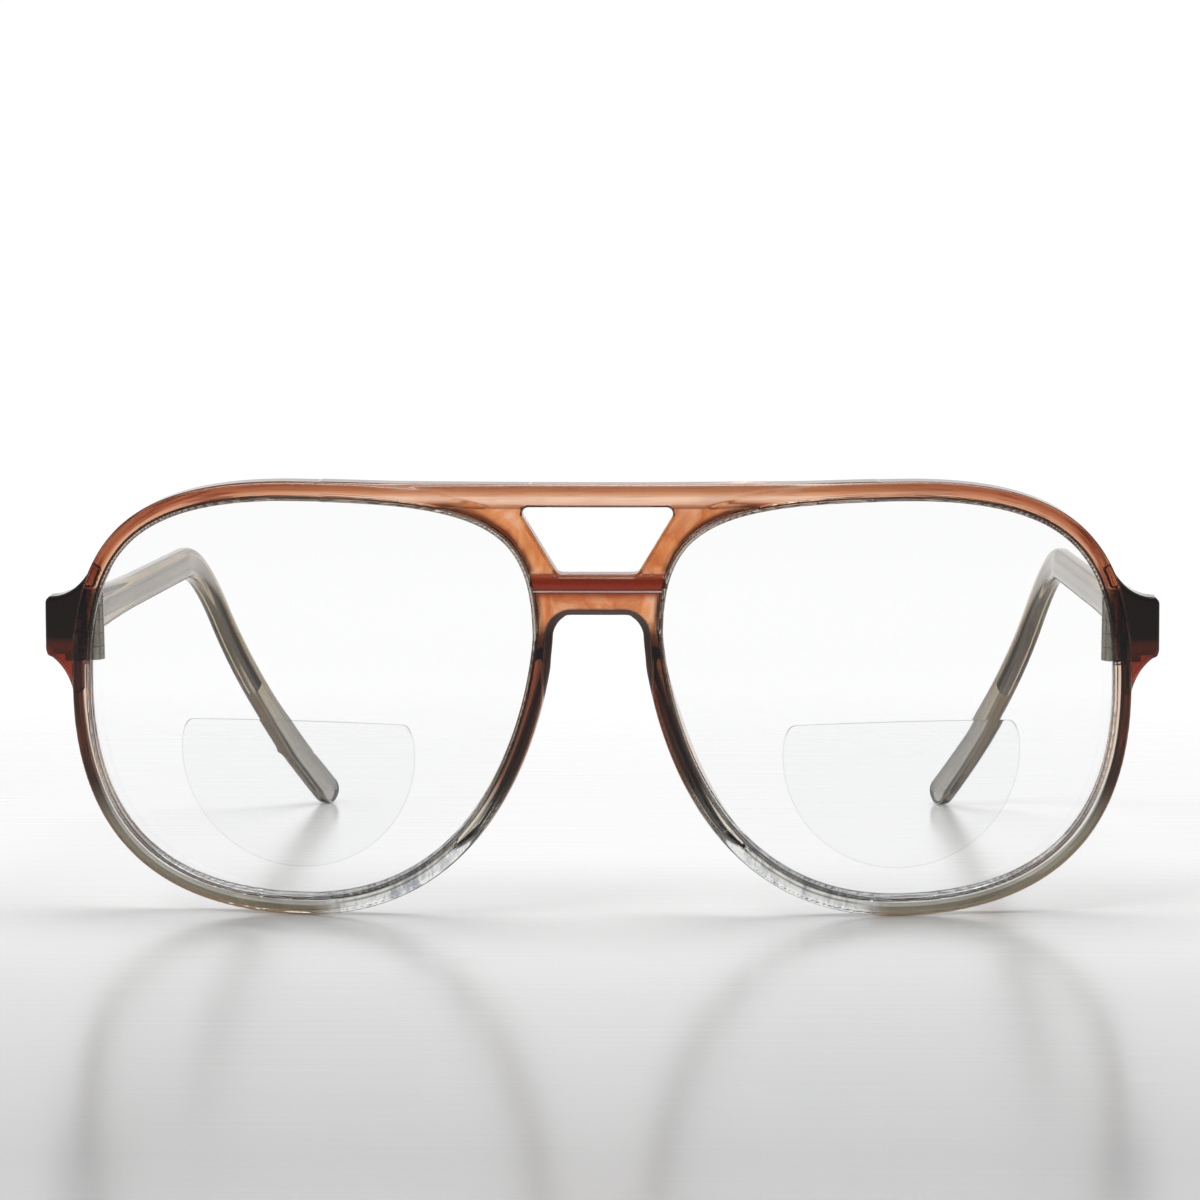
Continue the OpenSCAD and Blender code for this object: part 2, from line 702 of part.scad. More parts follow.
front_frame();
lens(true);  // lens_left
lens(false);  // lens_right
temple(true);  // temple_left
temple(false);  // temple_right
core_wire(true);  // core_wire_left
core_wire(false);  // core_wire_right
front_hinge_leaf(true);  // front_hinge_leaf_left
front_hinge_leaf(false);  // front_hinge_leaf_right
temple_hinge_leaf(true);  // temple_hinge_leaf_left
temple_hinge_leaf(false);  // temple_hinge_leaf_right
hinge_screw(true);  // hinge_screw_left
hinge_screw(false);  // hinge_screw_right
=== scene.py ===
import json
import math

import bmesh
import bpy
import numpy as np
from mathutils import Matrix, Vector

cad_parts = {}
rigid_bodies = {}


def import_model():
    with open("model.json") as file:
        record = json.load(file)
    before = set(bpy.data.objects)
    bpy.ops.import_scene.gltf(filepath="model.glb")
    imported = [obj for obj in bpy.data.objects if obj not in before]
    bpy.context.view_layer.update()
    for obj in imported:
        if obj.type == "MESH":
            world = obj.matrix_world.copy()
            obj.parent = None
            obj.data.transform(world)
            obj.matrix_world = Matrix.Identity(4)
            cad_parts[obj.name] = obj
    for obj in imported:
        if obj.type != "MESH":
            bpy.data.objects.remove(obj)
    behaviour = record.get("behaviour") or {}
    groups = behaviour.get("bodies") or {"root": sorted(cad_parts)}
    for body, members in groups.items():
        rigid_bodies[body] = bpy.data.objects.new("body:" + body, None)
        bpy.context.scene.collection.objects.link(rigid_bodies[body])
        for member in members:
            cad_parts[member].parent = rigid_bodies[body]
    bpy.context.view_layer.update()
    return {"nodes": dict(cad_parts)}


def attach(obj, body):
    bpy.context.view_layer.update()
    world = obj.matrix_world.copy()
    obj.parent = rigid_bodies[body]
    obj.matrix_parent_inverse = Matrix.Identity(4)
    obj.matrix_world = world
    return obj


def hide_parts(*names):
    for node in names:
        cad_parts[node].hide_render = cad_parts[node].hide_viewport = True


for old in list(bpy.data.objects):
    bpy.data.objects.remove(old)
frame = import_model()
MM = 0.001

# Sizes of the object, in millimetres
TILT = math.radians(6)
CURVE_R = 260.0
# where the four legs of the rim's middle line meet, and how far each one's curve is pulled to its corner
SIDE, TOP, NOSE, LOW = (66.3, 28.3), (37.7, 54.4), (6.9, 36.5), (38.5, 1.25)
PULLS = (0.65, 0.83, 0.77, 0.83, 0.03, 0.92, 0.65, 0.69)
CURVE_V = (TOP[1] + LOW[1]) / 2
RIM_W, RIM_D, RIM_ROUND = 2.5, 3.8, 0.7
HALF_W = RIM_W / 2
LENS_T, GROOVE, GROOVE_GAP = 1.7, 0.7, 0.08
LENS_W0 = (RIM_D - LENS_T) / 2
LENS_INDEX, PLASTIC_INDEX = 1.5, 1.49
SEG_X, SEG_W, SEG_TOP, SEG_DROP = 38.2, 30.2, 25.1, 3.8
SEG_R, SEG_V = SEG_W / 2, SEG_TOP - SEG_DROP
# in dioptres, weaker than in the part's source, so that the temples seen through it hardly jump
SEG_POWER = 0.5
END_X, END_HIGH, END_LOW, END_ROUND = 71.2, 39.3, 33.2, 0.9
HINGE_V, KNUCKLE_R, RELIEF, HINGE_H = 36.0, 1.35, 0.22, 8.7
TEMPLE_SET, AXIS_OUT = 0.2, 2.0
TEMPLE_FACE = END_X - TEMPLE_SET
TEMPLE_T, TEMPLE_H, WAIST_T, WAIST_H, TIP_T, TIP_H = 3.8, 7.4, 2.8, 4.7, 2.6, 4.6
TEMPLE_X = TEMPLE_FACE - TEMPLE_T / 2
AXIS_X = TEMPLE_FACE - TEMPLE_T - AXIS_OUT


def sag(x, v):
    return CURVE_R - np.sqrt(CURVE_R ** 2 - x * x - (v - CURVE_V) ** 2)


BUTT_W = float(sag(AXIS_X, HINGE_V)) + RIM_D + KNUCKLE_R + RELIEF / 2
LIFT = -(float(sag(*LOW)) + RIM_ROUND) * math.sin(TILT) + (HALF_W - LOW[1]) * math.cos(TILT)
RUN, BEND_R, BEND, RISE = 76.0, 30.0, math.radians(46), math.radians(3.5)
TOE_IN, TIP_IN = 3.0, 15.0
BUTT_GAP = 0.12


def tilted(y, z):
    return y * math.cos(TILT) - z * math.sin(TILT), y * math.sin(TILT) + z * math.cos(TILT) + LIFT


BUTT_Y, BUTT_Z = tilted(BUTT_W + BUTT_GAP, HINGE_V)
BEND_L = BEND_R * (BEND + RISE)
BEND_Y, BEND_Z = BEND_R * (math.sin(BEND) + math.sin(RISE)), BEND_R * (math.cos(BEND) - math.cos(RISE))
DROP_L = (BUTT_Z + RUN * math.sin(RISE) + BEND_Z - TIP_H / 2) / math.sin(BEND)
TEMPLE_L = RUN + BEND_L + DROP_L
TIP_Y = BUTT_Y + RUN * math.cos(RISE) + BEND_Y + DROP_L * math.cos(BEND) + TIP_H / 2
WIRE_T, WIRE_H, WIRE_GAP, WIRE_SET, WIRE_SHARE = 1.15, 2.2, 0.06, 0.4, 0.4
WIRE_END = RUN + BEND_L + WIRE_SHARE * DROP_L
BROW_H, BROW_SET, BAR_SET = 2.9, 0.1, 0.2
BROW_TOP = TOP[1] + HALF_W - BROW_SET
BROW_REACH = TOP[0] - BROW_H
MID_Y = (TIP_Y + tilted(float(sag(0, BROW_TOP)) + BAR_SET, BROW_TOP)[0]) / 2
WINDOW_H, WINDOW_TOP_W, WINDOW_SILL_W, WINDOW_ROUND = 8.3, 18.8, 10.6, 0.8
WINDOW_TOP = BROW_TOP - BROW_H
WINDOW_SILL = WINDOW_TOP - WINDOW_H
BEAD_DROP, BEAD_HALF, BEAD_REACH = 1.1, 1.05, 8.6
BEAD_V = WINDOW_SILL - BEAD_DROP
ARCH_V, ARCH_W, ARCH_ROUND, ARCH_LOW = 39.0, 8.0, 2.3, 20
WEB_SET, END_SET = 0.62, 0.45
PAD_FROM, PAD_TO, PAD_REACH, PAD_FLARE, PAD_SET = 0.05, 0.76, 4.6, 0.9, 0.1
PAD_ROOT_R, PAD_EDGE_R = 1.0, 0.75
# room in the end pieces for the screws' heads, and for the straps and feet of the hinge leaves
HEAD_ROOM, LEAF_GAP = 0.3, 0.04
STRAP_OUT, STRAP_D = 2.4, 1.14
FOOT_IN, FOOT_OUT, FOOT_D = 1.63, 3.26, 1.74
# rounded edges of the metal pieces
HINGE_EDGE = 0.08
# grid steps of the front's mesh; the fine one keeps it under 200,000 triangles
GRID_QUICK, GRID_FINE = 0.45, 0.273
GRID_X, GRID_V, GRID_W = 72.4, (-1.2, 57.2), (-1.0, 9.4)


def to_world(x, y, z):
    """From the front's own axes, y along its depth, to the shared frame, in metres."""
    wy, wz = tilted(y, z)
    return np.stack([x, wy - MID_Y, wz], -1) * MM


# The rim's outline
def leg(a, corner, b, pa, pb, n):
    a, corner, b = (np.array(p, float) for p in (a, corner, b))
    t = (np.arange(n) / n)[:, None]
    ha, hb, s = a + pa * (corner - a), b + pb * (corner - b), 1 - t
    p = s ** 3 * a + 3 * s * s * t * ha + 3 * s * t * t * hb + t ** 3 * b
    d = 3 * s * s * (ha - a) + 6 * s * t * (hb - ha) + 3 * t * t * (b - hb)
    dd = 6 * s * (hb - 2 * ha + a) + 6 * t * (b - 2 * hb + ha)
    return p, d / n, dd / n ** 2


LEG_N, CHUNK = 120, 20000
LEGS = [
    leg(SIDE, (SIDE[0], TOP[1]), TOP, PULLS[0], PULLS[1], LEG_N),
    leg(TOP, (NOSE[0], TOP[1]), NOSE, PULLS[2], PULLS[3], LEG_N),
    leg(NOSE, (NOSE[0], LOW[1]), LOW, PULLS[4], PULLS[5], LEG_N),
    leg(LOW, (SIDE[0], LOW[1]), SIDE, PULLS[6], PULLS[7], LEG_N),
]
LINE, LINE_D, LINE_DD = (np.vstack([k[i] for k in LEGS]) for i in range(3))
LINE_NORMAL = np.stack([LINE_D[:, 1], -LINE_D[:, 0]], -1)
LINE_NORMAL /= np.linalg.norm(LINE_NORMAL, axis=1)[:, None]


def rim_distance(x, v):
    """Signed distance to the rim's middle line, positive outside, and the place along it, 0 to 4."""
    shape = np.shape(x)
    p = np.stack([np.ravel(x), np.ravel(v)], -1)
    out, place = np.empty(len(p)), np.empty(len(p))
    for i in range(0, len(p), CHUNK):
        q = p[i:i + CHUNK]
        dx, dv = q[:, None, 0] - LINE[None, :, 0], q[:, None, 1] - LINE[None, :, 1]
        near = (dx ** 2 + dv ** 2).argmin(1)
        c, d, dd = LINE[near], LINE_D[near], LINE_DD[near]
        r = q - c
        along = (r * d).sum(1)
        step = np.clip(along / np.maximum((d * d).sum(1) - (r * dd).sum(1), 1e-6), -0.6, 0.6)[:, None]
        foot = c + d * step + 0.5 * dd * step ** 2
        way = d + dd * step
        normal = np.stack([way[:, 1], -way[:, 0]], -1)
        normal /= np.linalg.norm(normal, axis=1)[:, None]
        out[i:i + CHUNK] = ((q - foot) * normal).sum(1)
        place[i:i + CHUNK] = (near + step[:, 0]) / LEG_N
    return out.reshape(shape), (place % 4).reshape(shape)


# Fields for the moulded front
def smin(a, b, k):
    h = np.maximum(k - np.abs(a - b), 0) / k
    return np.minimum(a, b) - h * h * k / 4


def smax(a, b, k):
    return -smin(-a, -b, k)


def ease(x, a, b):
    """0 at a and 1 at b, with a soft start and end."""
    t = np.clip((x - a) / (b - a), 0, 1)
    return t * t * (3 - 2 * t)


def rounded(a, b, r):
    """Distance to the corner of two slabs whose distances are a and b, rounded by r."""
    a, b = a + r, b + r
    return np.hypot(np.maximum(a, 0), np.maximum(b, 0)) + np.minimum(np.maximum(a, b), 0) - r


def polygon(x, v, points):
    """Signed distance to a polygon, negative inside."""
    pts = np.array(points, float)
    best = np.full(np.shape(x), 1e9)
    inside = np.zeros(np.shape(x), bool)
    for a, b in zip(pts, np.roll(pts, -1, 0)):
        e = b - a
        wx, wv = x - a[0], v - a[1]
        t = np.clip((wx * e[0] + wv * e[1]) / (e @ e), 0, 1)
        best = np.minimum(best, (wx - e[0] * t) ** 2 + (wv - e[1] * t) ** 2)
        crossing = (b[0] - a[0]) * (v - a[1]) / (b[1] - a[1] + 1e-12) + a[0]
        inside ^= ((a[1] > v) != (b[1] > v)) & (x < crossing)
    return np.where(inside, -1, 1) * np.sqrt(best)


def bow(a, c, b):
    """A curve from a to b, pulled to c."""
    t = np.linspace(0, 1, 8)[:, None]
    return list((1 - t) ** 2 * np.array(a) + 2 * t * (1 - t) * np.array(c) + t * t * np.array(b))


# an end piece seen from the front: two hollow curves run from the rim to its outer face
END_TOP, END_FOOT = END_HIGH + END_ROUND, END_LOW - END_ROUND
END_SHAPE = (bow((64.7, 44.3), (SIDE[0] + 0.1, END_TOP + 0.7), (69.4, END_TOP))
             + [(END_X - 0.6, END_TOP - 0.15), (END_X - 0.1, END_TOP - 0.7)]
             + [(END_X, END_LOW), (END_X - 0.35, END_LOW - 0.75)]
             + bow((END_X - END_ROUND, END_FOOT), (SIDE[0] + 1.6, END_FOOT - 1.7), (67.4, 27.2))
             + [(66.2, 28), (65.6, 36), (64.5, 41), (63.6, 43.6)])


def flat_fields(ax, v):
    """Everything that depends only on the place across the front."""
    d, place = rim_distance(ax, v)
    end = np.maximum(polygon(ax, v, END_SHAPE), -0.1 - d)
    top, sill = WINDOW_TOP_W / 2 - WINDOW_ROUND, WINDOW_SILL_W / 2 - WINDOW_ROUND
    high, low = WINDOW_TOP - WINDOW_ROUND, WINDOW_SILL + WINDOW_ROUND
    win = polygon(ax, v, [(-top, high), (top, high), (sill, low), (-sill, low)]) - WINDOW_ROUND
    web = polygon(ax, v, [(-1, BROW_TOP - 0.7), (BROW_REACH, BROW_TOP - 0.7), (BROW_REACH, TOP[1] - 1),
                          (20, 48), (10, 44), (NOSE[0], NOSE[1]), (NOSE[0] - 0.9, NOSE[1]),
                          (ARCH_W / 2, ARCH_V), (-1, ARCH_V)])
    crown = ARCH_V - ARCH_ROUND
    hollow = [(-1, ARCH_LOW), (-1, crown), (3.2, crown), (3.45, 32), (3.45, ARCH_LOW)]
    arch = polygon(ax, v, hollow) - ARCH_ROUND
    cheek = ease(place, 1.0, 1.05) * ease(place, 2.02, 1.93) * ease(v, WINDOW_TOP, WINDOW_TOP - 0.15)
    return dict(d=d, place=place, end=end, win=win, web=web, arch=arch, cheek=cheek)


def bar_field(high, half, past, crown, w, edge_r):
    """A crowned bar; high is the height over its middle as a share of half its height."""
    front = crown[0] + crown[1] * np.minimum(high * high, 1.5)
    return rounded(np.maximum((np.abs(high) - 1) * half, past), np.maximum(front - w, w - RIM_D), edge_r)


def pad_field(d, place, w):
    """A nose pad, a flange that leaves the rim along its nose leg."""
    s = np.clip((place - 2 - PAD_FROM) / (PAD_TO - PAD_FROM), 0, 1)
    swell = (np.sin(np.pi * s) + 1e-6) ** 0.8
    reach, flare = PAD_REACH * swell, PAD_FLARE * swell
    r0, r1 = PAD_ROOT_R, PAD_EDGE_R
    n0, w0 = HALF_W - r0 - PAD_SET, RIM_D - r0 - 2 * PAD_SET
    n1, w1 = HALF_W - r1 - PAD_SET - flare, RIM_D - r1 - PAD_SET + reach
    dn, dw = n1 - n0, w1 - w0
    t = np.clip(((d - n0) * dn + (w - w0) * dw) / (dn * dn + dw * dw + 1e-9), 0, 1)
    pad = np.hypot(d - n0 - dn * t, w - w0 - dw * t) - (r0 + (r1 - r0) * t)
    pad = pad + 1.4 * (ease(s, 0.22, 0) + ease(s, 0.8, 1))
    return np.maximum(pad, np.where((place > 2.02) & (place < 2.8), -9, 9))


def hinge_room(ax, v, y):
    """Room in the end piece for the knuckles, the screw's head, the straps and the foot."""
    high = np.abs(v - HINGE_V) - HINGE_H / 2 - LEAF_GAP
    drum = np.maximum(np.hypot(ax - AXIS_X, y - BUTT_W) - KNUCKLE_R - RELIEF,
                      np.abs(v - HINGE_V - HEAD_ROOM) - HINGE_H / 2 - RELIEF - HEAD_ROOM)
    strap = np.maximum(np.maximum(AXIS_X - ax, ax - AXIS_X - STRAP_OUT),
                       np.maximum(BUTT_W - y - STRAP_D, high))
    foot = np.maximum(np.maximum(AXIS_X + FOOT_IN - ax, ax - AXIS_X - FOOT_OUT),
                      np.maximum(BUTT_W - y - FOOT_D, high))
    return np.minimum(np.minimum(drum, strap), foot)


def front_field(ax, v, w, k):
    """Signed field of the front, negative inside. Across the front, k holds the flat fields."""
    y = sag(ax, v) + w
    d, place = k["d"], k["place"]
    ad = np.abs(d)
    # the rim's front is slightly crowned; by the bridge it drops to the cheeks, all but a lip by the lens
    crown = 0.08 * np.minimum(ad / HALF_W, 1.5) ** 2 + 0.5 * k["cheek"] * ease(d, -0.8, -0.35)
    edge_r = 0.16 + 0.2 * np.clip(d, 0, 1)
    rim = rounded(ad - HALF_W, np.maximum(crown - w, w - RIM_D), edge_r)
    web = rounded(k["web"], np.maximum(WEB_SET - w, w - RIM_D), 0.25)
    high = (v - (BROW_TOP + WINDOW_TOP) / 2) / (BROW_H / 2)
    brow = bar_field(high, BROW_H / 2, ax - BROW_REACH, (0.1, 0.3), w, 0.3)
    bead = bar_field((v - BEAD_V) / BEAD_HALF, BEAD_HALF, ax - BEAD_REACH, (0.05, 0.42), w, 0.2)
    end = rounded(k["end"], np.maximum(END_SET - w, y - BUTT_W), 0.4)
    f = smin(rim, web, 0.35)
    f = smin(f, brow, 0.35)
    f = smin(f, bead, 0.18)
    f = smin(f, end, 0.12)
    f = smax(f, ax - END_X, 0.3)
    f = smax(f, y - BUTT_W, 0.25)
    f = smin(f, pad_field(d, place, w), 0.7)
    # the window and the nose arch, each with its bevel
    f = smax(f, -(k["win"] - 0.7 * np.clip(1.1 - w, 0, 0.5)), 0.15)
    f = smax(f, -k["arch"] + 0.62 * np.clip(2.3 - w, 0, 1.7), 0.3)
    # lens opening and groove
    opening = np.maximum(d + HALF_W, w - RIM_D - 0.35)
    f = smax(f, -opening, 0.2)
    groove = rounded(d + HALF_W - GROOVE, np.abs(w - RIM_D / 2) - LENS_T / 2 - GROOVE_GAP, 0.15)
    f = smax(f, -groove, 0.1)
    return smax(f, -hinge_room(ax, v, y), 0.12)


def surface_nets(f, lo, h):
    """Quads along the zero level of a field on a grid."""
    inside = f < 0
    n = f.shape
    cells = [(a, b, c) for a in (0, 1) for b in (0, 1) for c in (0, 1)]
    count = sum(inside[a:n[0] - 1 + a, b:n[1] - 1 + b, c:n[2] - 1 + c].astype(np.int8)
                for a, b, c in cells)
    active = (count > 0) & (count < 8)
    index = np.full(active.shape, -1, np.int64)
    where = np.argwhere(active)
    index[active] = np.arange(len(where))
    corner = {o: f[where[:, 0] + o[0], where[:, 1] + o[1], where[:, 2] + o[2]] for o in cells}
    total, hits = np.zeros((len(where), 3)), np.zeros(len(where))
    for a in cells:
        for axis in range(3):
            if a[axis]:
                continue
            b = tuple(a[i] + (i == axis) for i in range(3))
            fa, fb = corner[a], corner[b]
            cross = (fa < 0) != (fb < 0)
            t = np.where(cross, fa / np.where(cross, fa - fb, 1), 0)
            for i in range(3):
                total[:, i] += np.where(cross, a[i] + (t if i == axis else 0), 0)
            hits += cross
    points = np.array(lo) + (where + total / hits[:, None]) * h
    quads = []
    for axis in range(3):
        u, w = (axis + 1) % 3, (axis + 2) % 3
        a = np.take(inside, range(0, n[axis] - 1), axis)
        b = np.take(inside, range(1, n[axis]), axis)
        at = np.argwhere(a != b)
        keep = (at[:, u] > 0) & (at[:, w] > 0) & (at[:, u] < n[u] - 1) & (at[:, w] < n[w] - 1)
        at = at[keep]
        ring = []
        for du, dw in ((-1, -1), (0, -1), (0, 0), (-1, 0)):
            c = at.copy()
            c[:, u] += du
            c[:, w] += dw
            ring.append(index[c[:, 0], c[:, 1], c[:, 2]])
        q = np.stack(ring, -1)
        flip = ~a[at[:, 0], at[:, 1], at[:, 2]]
        q[flip] = q[flip][:, ::-1]
        quads.append(q)
    return points, np.vstack(quads)


def new_mesh(name, points, faces, normals=None):
    mesh = bpy.data.meshes.new(name)
    mesh.from_pydata([], [], [])
    points = np.asarray(points, float)
    mesh.vertices.add(len(points))
    mesh.vertices.foreach_set("co", points.ravel())
    sizes = [len(q) for q in faces]
    mesh.loops.add(sum(sizes))
    mesh.loops.foreach_set("vertex_index", np.concatenate([np.asarray(q, np.int64) for q in faces]))
    mesh.polygons.add(len(faces))
    mesh.polygons.foreach_set("loop_start", np.cumsum([0] + sizes[:-1]))
    mesh.update(calc_edges=True)
    mesh.validate()
    mesh.polygons.foreach_set("use_smooth", np.ones(len(mesh.polygons), bool))
    if normals is not None:
        mesh.normals_split_custom_set_from_vertices([tuple(n) for n in normals])
    obj = bpy.data.objects.new(name, mesh)
    bpy.context.scene.collection.objects.link(obj)
    return obj


def add_mark(obj, name, values):
    data = obj.data.attributes.new(name, "FLOAT", "POINT").data
    data.foreach_set("value", values.astype(np.float32))


def set_normals(obj, sharp):
    """Turn all faces outwards, and keep the edges sharp that bend by more than sharp degrees."""
    bm = bmesh.new()
    bm.from_mesh(obj.data)
    bmesh.ops.recalc_face_normals(bm, faces=bm.faces)
    bm.to_mesh(obj.data)
    bm.free()
    obj.data.set_sharp_from_angle(angle=math.radians(sharp))


def make_front():
    h = GRID_FINE
    x = np.arange(-0.5 * h, GRID_X, h)
    v = np.arange(GRID_V[0], GRID_V[1], h)
    w = np.arange(GRID_W[0], GRID_W[1], h)
    gx, gv = np.meshgrid(x, v, indexing="ij")
    flat = flat_fields(np.abs(gx), gv)
    f = np.empty((len(x), len(v), len(w)), np.float32)
    for i, depth in enumerate(w):
        f[:, :, i] = front_field(np.abs(gx), gv, depth, flat)
    # the half at negative x mirrors the other one; the first two columns straddle the middle
    f = np.concatenate([f[:1:-1], f], 0)
    lo = (-x[-1], v[0], w[0])
    points, quads = surface_nets(f, lo, h)

    def field(p):
        return front_field(np.abs(p[:, 0]), p[:, 1], p[:, 2], flat_fields(np.abs(p[:, 0]), p[:, 1]))

    def slope(p):
        e = 0.02
        g = np.empty_like(p)
        for i in range(3):
            q, r = p.copy(), p.copy()
            q[:, i] += e
            r[:, i] -= e
            g[:, i] = (field(q) - field(r)) / (2 * e)
        return g

    # two steps along the slope bring the points close to the surface
    for _ in range(2):
        g = slope(points)
        size = np.maximum((g * g).sum(1), 0.2)
        step = -(field(points) / size)[:, None] * g
        length = np.linalg.norm(step, axis=1)[:, None]
        points += step * np.minimum(1, 0.6 * h / np.maximum(length, 1e-9))
    x, v = points[:, 0], points[:, 1]
    back = sag(x, v)
    world = to_world(x, back + points[:, 2], v)
    # the surface's own direction, taken from the field and turned with the front
    g = slope(points)
    gz = g[:, 1] - g[:, 2] * (v - CURVE_V) / (CURVE_R - back)
    normals = np.stack([g[:, 0] - g[:, 2] * x / (CURVE_R - back),
                        g[:, 2] * math.cos(TILT) - gz * math.sin(TILT),
                        g[:, 2] * math.sin(TILT) + gz * math.cos(TILT)], -1)
    normals /= np.maximum(np.linalg.norm(normals, axis=1), 1e-9)[:, None]
    obj = new_mesh("front", world, quads[:, ::-1], normals)
    for mark, values in front_marks(x, v, points[:, 2]).items():
        add_mark(obj, mark, values)
    return obj


def front_marks(x, v, w):
    """What the front's plastic is coloured by: distances in mm from its outer edge and from the lens,
    the distance along it, and the share of each part."""
    ax = np.abs(x)
    k = flat_fields(ax, v)
    d, place = k["d"], k["place"]
    bar = (v > WINDOW_TOP - 0.3) & (ax < TOP[0]) & (place > 1) & (place < 2)
    outer = np.where(bar, TOP[1] + HALF_W - v, HALF_W - d)
    along = np.where(bar, x, np.sign(x) * (TOP[0] - (place - 1) * 45))
    nose = ease(ax, 40, 36)
    near = ease(ax, 16, 12)
    full = 37.5 + 1.5 * near
    beside = (place > 1) & (place < 2.1)
    over = v - BEAD_V
    return {
        "outer": outer, "inner": d + HALF_W, "along": along,
        "high": ease(v, 33.5 + 2.5 * near, full),
        "leg": nose * ease(v, 12, 19),
        "side": (1 - nose) * ease(v, 9, 17),
        "crystal": nose * ease(ax, 37, 31) * ease(v, 20, 15),
        "cheek": ease(v, WINDOW_TOP + 0.1, WINDOW_TOP - 0.1) * beside * ease(v, 34.5 + 1.5 * near, full),
        "arch": ease(k["arch"], 1.25, 0.95) * ease(w, 2.6, 2.1),
        "bead": ease(over, 1.3, 1.15) * ease(over, -2.4, -1.2) * ease(d, -0.75, -0.5) * ease(ax, 14, 12),
        "rail": over / 2.6 + 0.5,
        "pad": ease(w, RIM_D + 0.2, RIM_D + 0.9) * nose,
        "end": ease(-k["end"], -0.25, 0.1) * ease(d, 1.1, 1.35),
    }


def segment_outline():
    """The segment's outline in the flat: an arc, and a ledge that is very slightly bowed."""
    half = math.sqrt(SEG_R ** 2 - SEG_DROP ** 2)
    start = math.atan2(SEG_DROP, half)
    # the arc stops short of both its ends, where small curves round the corners
    arc = np.linspace(start, -math.pi - start, 90)[4:-4]
    ring = [(SEG_X + SEG_R * math.cos(a), SEG_V + SEG_R * math.sin(a)) for a in arc]
    top = [(SEG_X + half * u, SEG_TOP + 0.25 * (1 - u * u)) for u in np.linspace(-0.93, 0.93, 34)]
    left = bow(ring[-1], (SEG_X - half, SEG_TOP), top[0])[1:-1]
    right = bow(top[-1], (SEG_X + half, SEG_TOP), ring[0])[1:-1]
    return np.array(ring + left + top + right)


def make_lens(name, sign):
    """A lens: its edge, two spherical faces, and the segment that stands proud of the front one."""
    edge = LINE + (GROOVE - GROOVE_GAP - HALF_W) * LINE_NORMAL
    ring = segment_outline()
    middle = np.array([SEG_X, SEG_V - 1])
    # the segment's sphere, through the circle of its arc on the front surface
    cap_r = 1 / (1 / CURVE_R + SEG_POWER / (LENS_INDEX - 1) / 1000)
    ball = np.array([0, CURVE_R + LENS_W0, CURVE_V])
    way = np.array([SEG_X, float(sag(SEG_X, SEG_V)) - CURVE_R, SEG_V - CURVE_V]) / CURVE_R
    centre = ball + way * (math.sqrt(CURVE_R ** 2 - SEG_R ** 2) - math.sqrt(cap_r ** 2 - SEG_R ** 2))
    points, faces, marks = [], [], []

    def front_y(q, inside):
        x, v = q[:, 0], q[:, 1]
        base = sag(x, v) + LENS_W0
        cap = centre[1] - np.sqrt(cap_r ** 2 - (x - centre[0]) ** 2 - (v - centre[2]) ** 2)
        return np.where(inside, np.minimum(base, cap), base)

    def back_y(q):
        return ball[1] - np.sqrt((CURVE_R - LENS_T) ** 2 - q[:, 0] * q[:, 0] - (q[:, 1] - CURVE_V) ** 2)

    def add(q, y, inside=0.0, line=0.0):
        first = sum(len(p) for p in points)
        points.append(np.stack([q[:, 0], y, q[:, 1]], -1))
        marks.append(np.stack([np.full(len(q), inside), np.zeros(len(q)) + line], -1))
        return np.arange(first, first + len(q))

    def strip(a, b):
        for i in range(len(a)):
            j = (i + 1) % len(a)
            faces.append((a[i], b[i], b[j], a[j]))

    def fan(a, tip):
        for i in range(len(a)):
            faces.append((a[i], tip, a[(i + 1) % len(a)]))

    # inside the segment, rings shrink to its middle; the first one carries the fine line, a dark line of
    # painted shade round the segment's edge, strongest along its ledge at the top
    inner = []
    bright = 0.3 + 0.7 * ease(ring[:, 1], SEG_TOP - 1.6, SEG_TOP - 0.4)
    for k in (1, 0.982, 0.9, 0.75, 0.6, 0.45, 0.3, 0.15):
        q = middle + (ring - middle) * k
        inner.append(add(q, front_y(q, True), 1.0, bright if k == 1 else 0.0))
    foot = add(ring, front_y(ring, False))
    hub = add(middle[None], front_y(middle[None], True), 1.0)[0]
    for a, b in zip(inner, inner[1:]):
        strip(a, b)
    fan(inner[-1], hub)
    strip(foot, inner[0])
    # from the segment's outline to the lens's edge, by rings of equal share
    angle = np.arctan2(ring[:, 1] - middle[1], ring[:, 0] - middle[0])
    order = np.argsort(-angle)
    ring, foot = ring[order], foot[order]
    edge_angle = np.arctan2(edge[:, 1] - middle[1], edge[:, 0] - middle[0])
    edge_order = np.argsort(-edge_angle)
    turn = 2 * math.pi
    rim = np.stack([np.interp(-angle[order], -edge_angle[edge_order], edge[edge_order, i], period=turn)
                    for i in range(2)], -1)
    last = foot
    for k in np.linspace(0, 1, 13)[1:]:
        q = ring + (rim - ring) * k
        now = add(q, front_y(q, False))
        strip(now, last)
        last = now
    # edge band and the plain back
    back = add(rim, back_y(rim))
    strip(last, back)
    last = back
    for k in np.linspace(1, 0, 13)[1:-1]:
        q = middle + (rim - middle) * k
        now = add(q, back_y(q))
        strip(last, now)
        last = now
    fan(last, add(middle[None], back_y(middle[None]))[0])
    pts = np.vstack(points)
    world = to_world(sign * pts[:, 0], pts[:, 1], pts[:, 2])
    if sign < 0:
        faces = [tuple(reversed(q)) for q in faces]
    obj = new_mesh(name, world, faces)
    for at, mark in enumerate(("inside", "line")):
        add_mark(obj, mark, np.vstack(marks)[:, at])
    set_normals(obj, 25)
    return obj


# Temples and their wires
def pitch_at(s):
    return -RISE + (BEND + RISE) * min(1, max(0, s - RUN) / BEND_L)


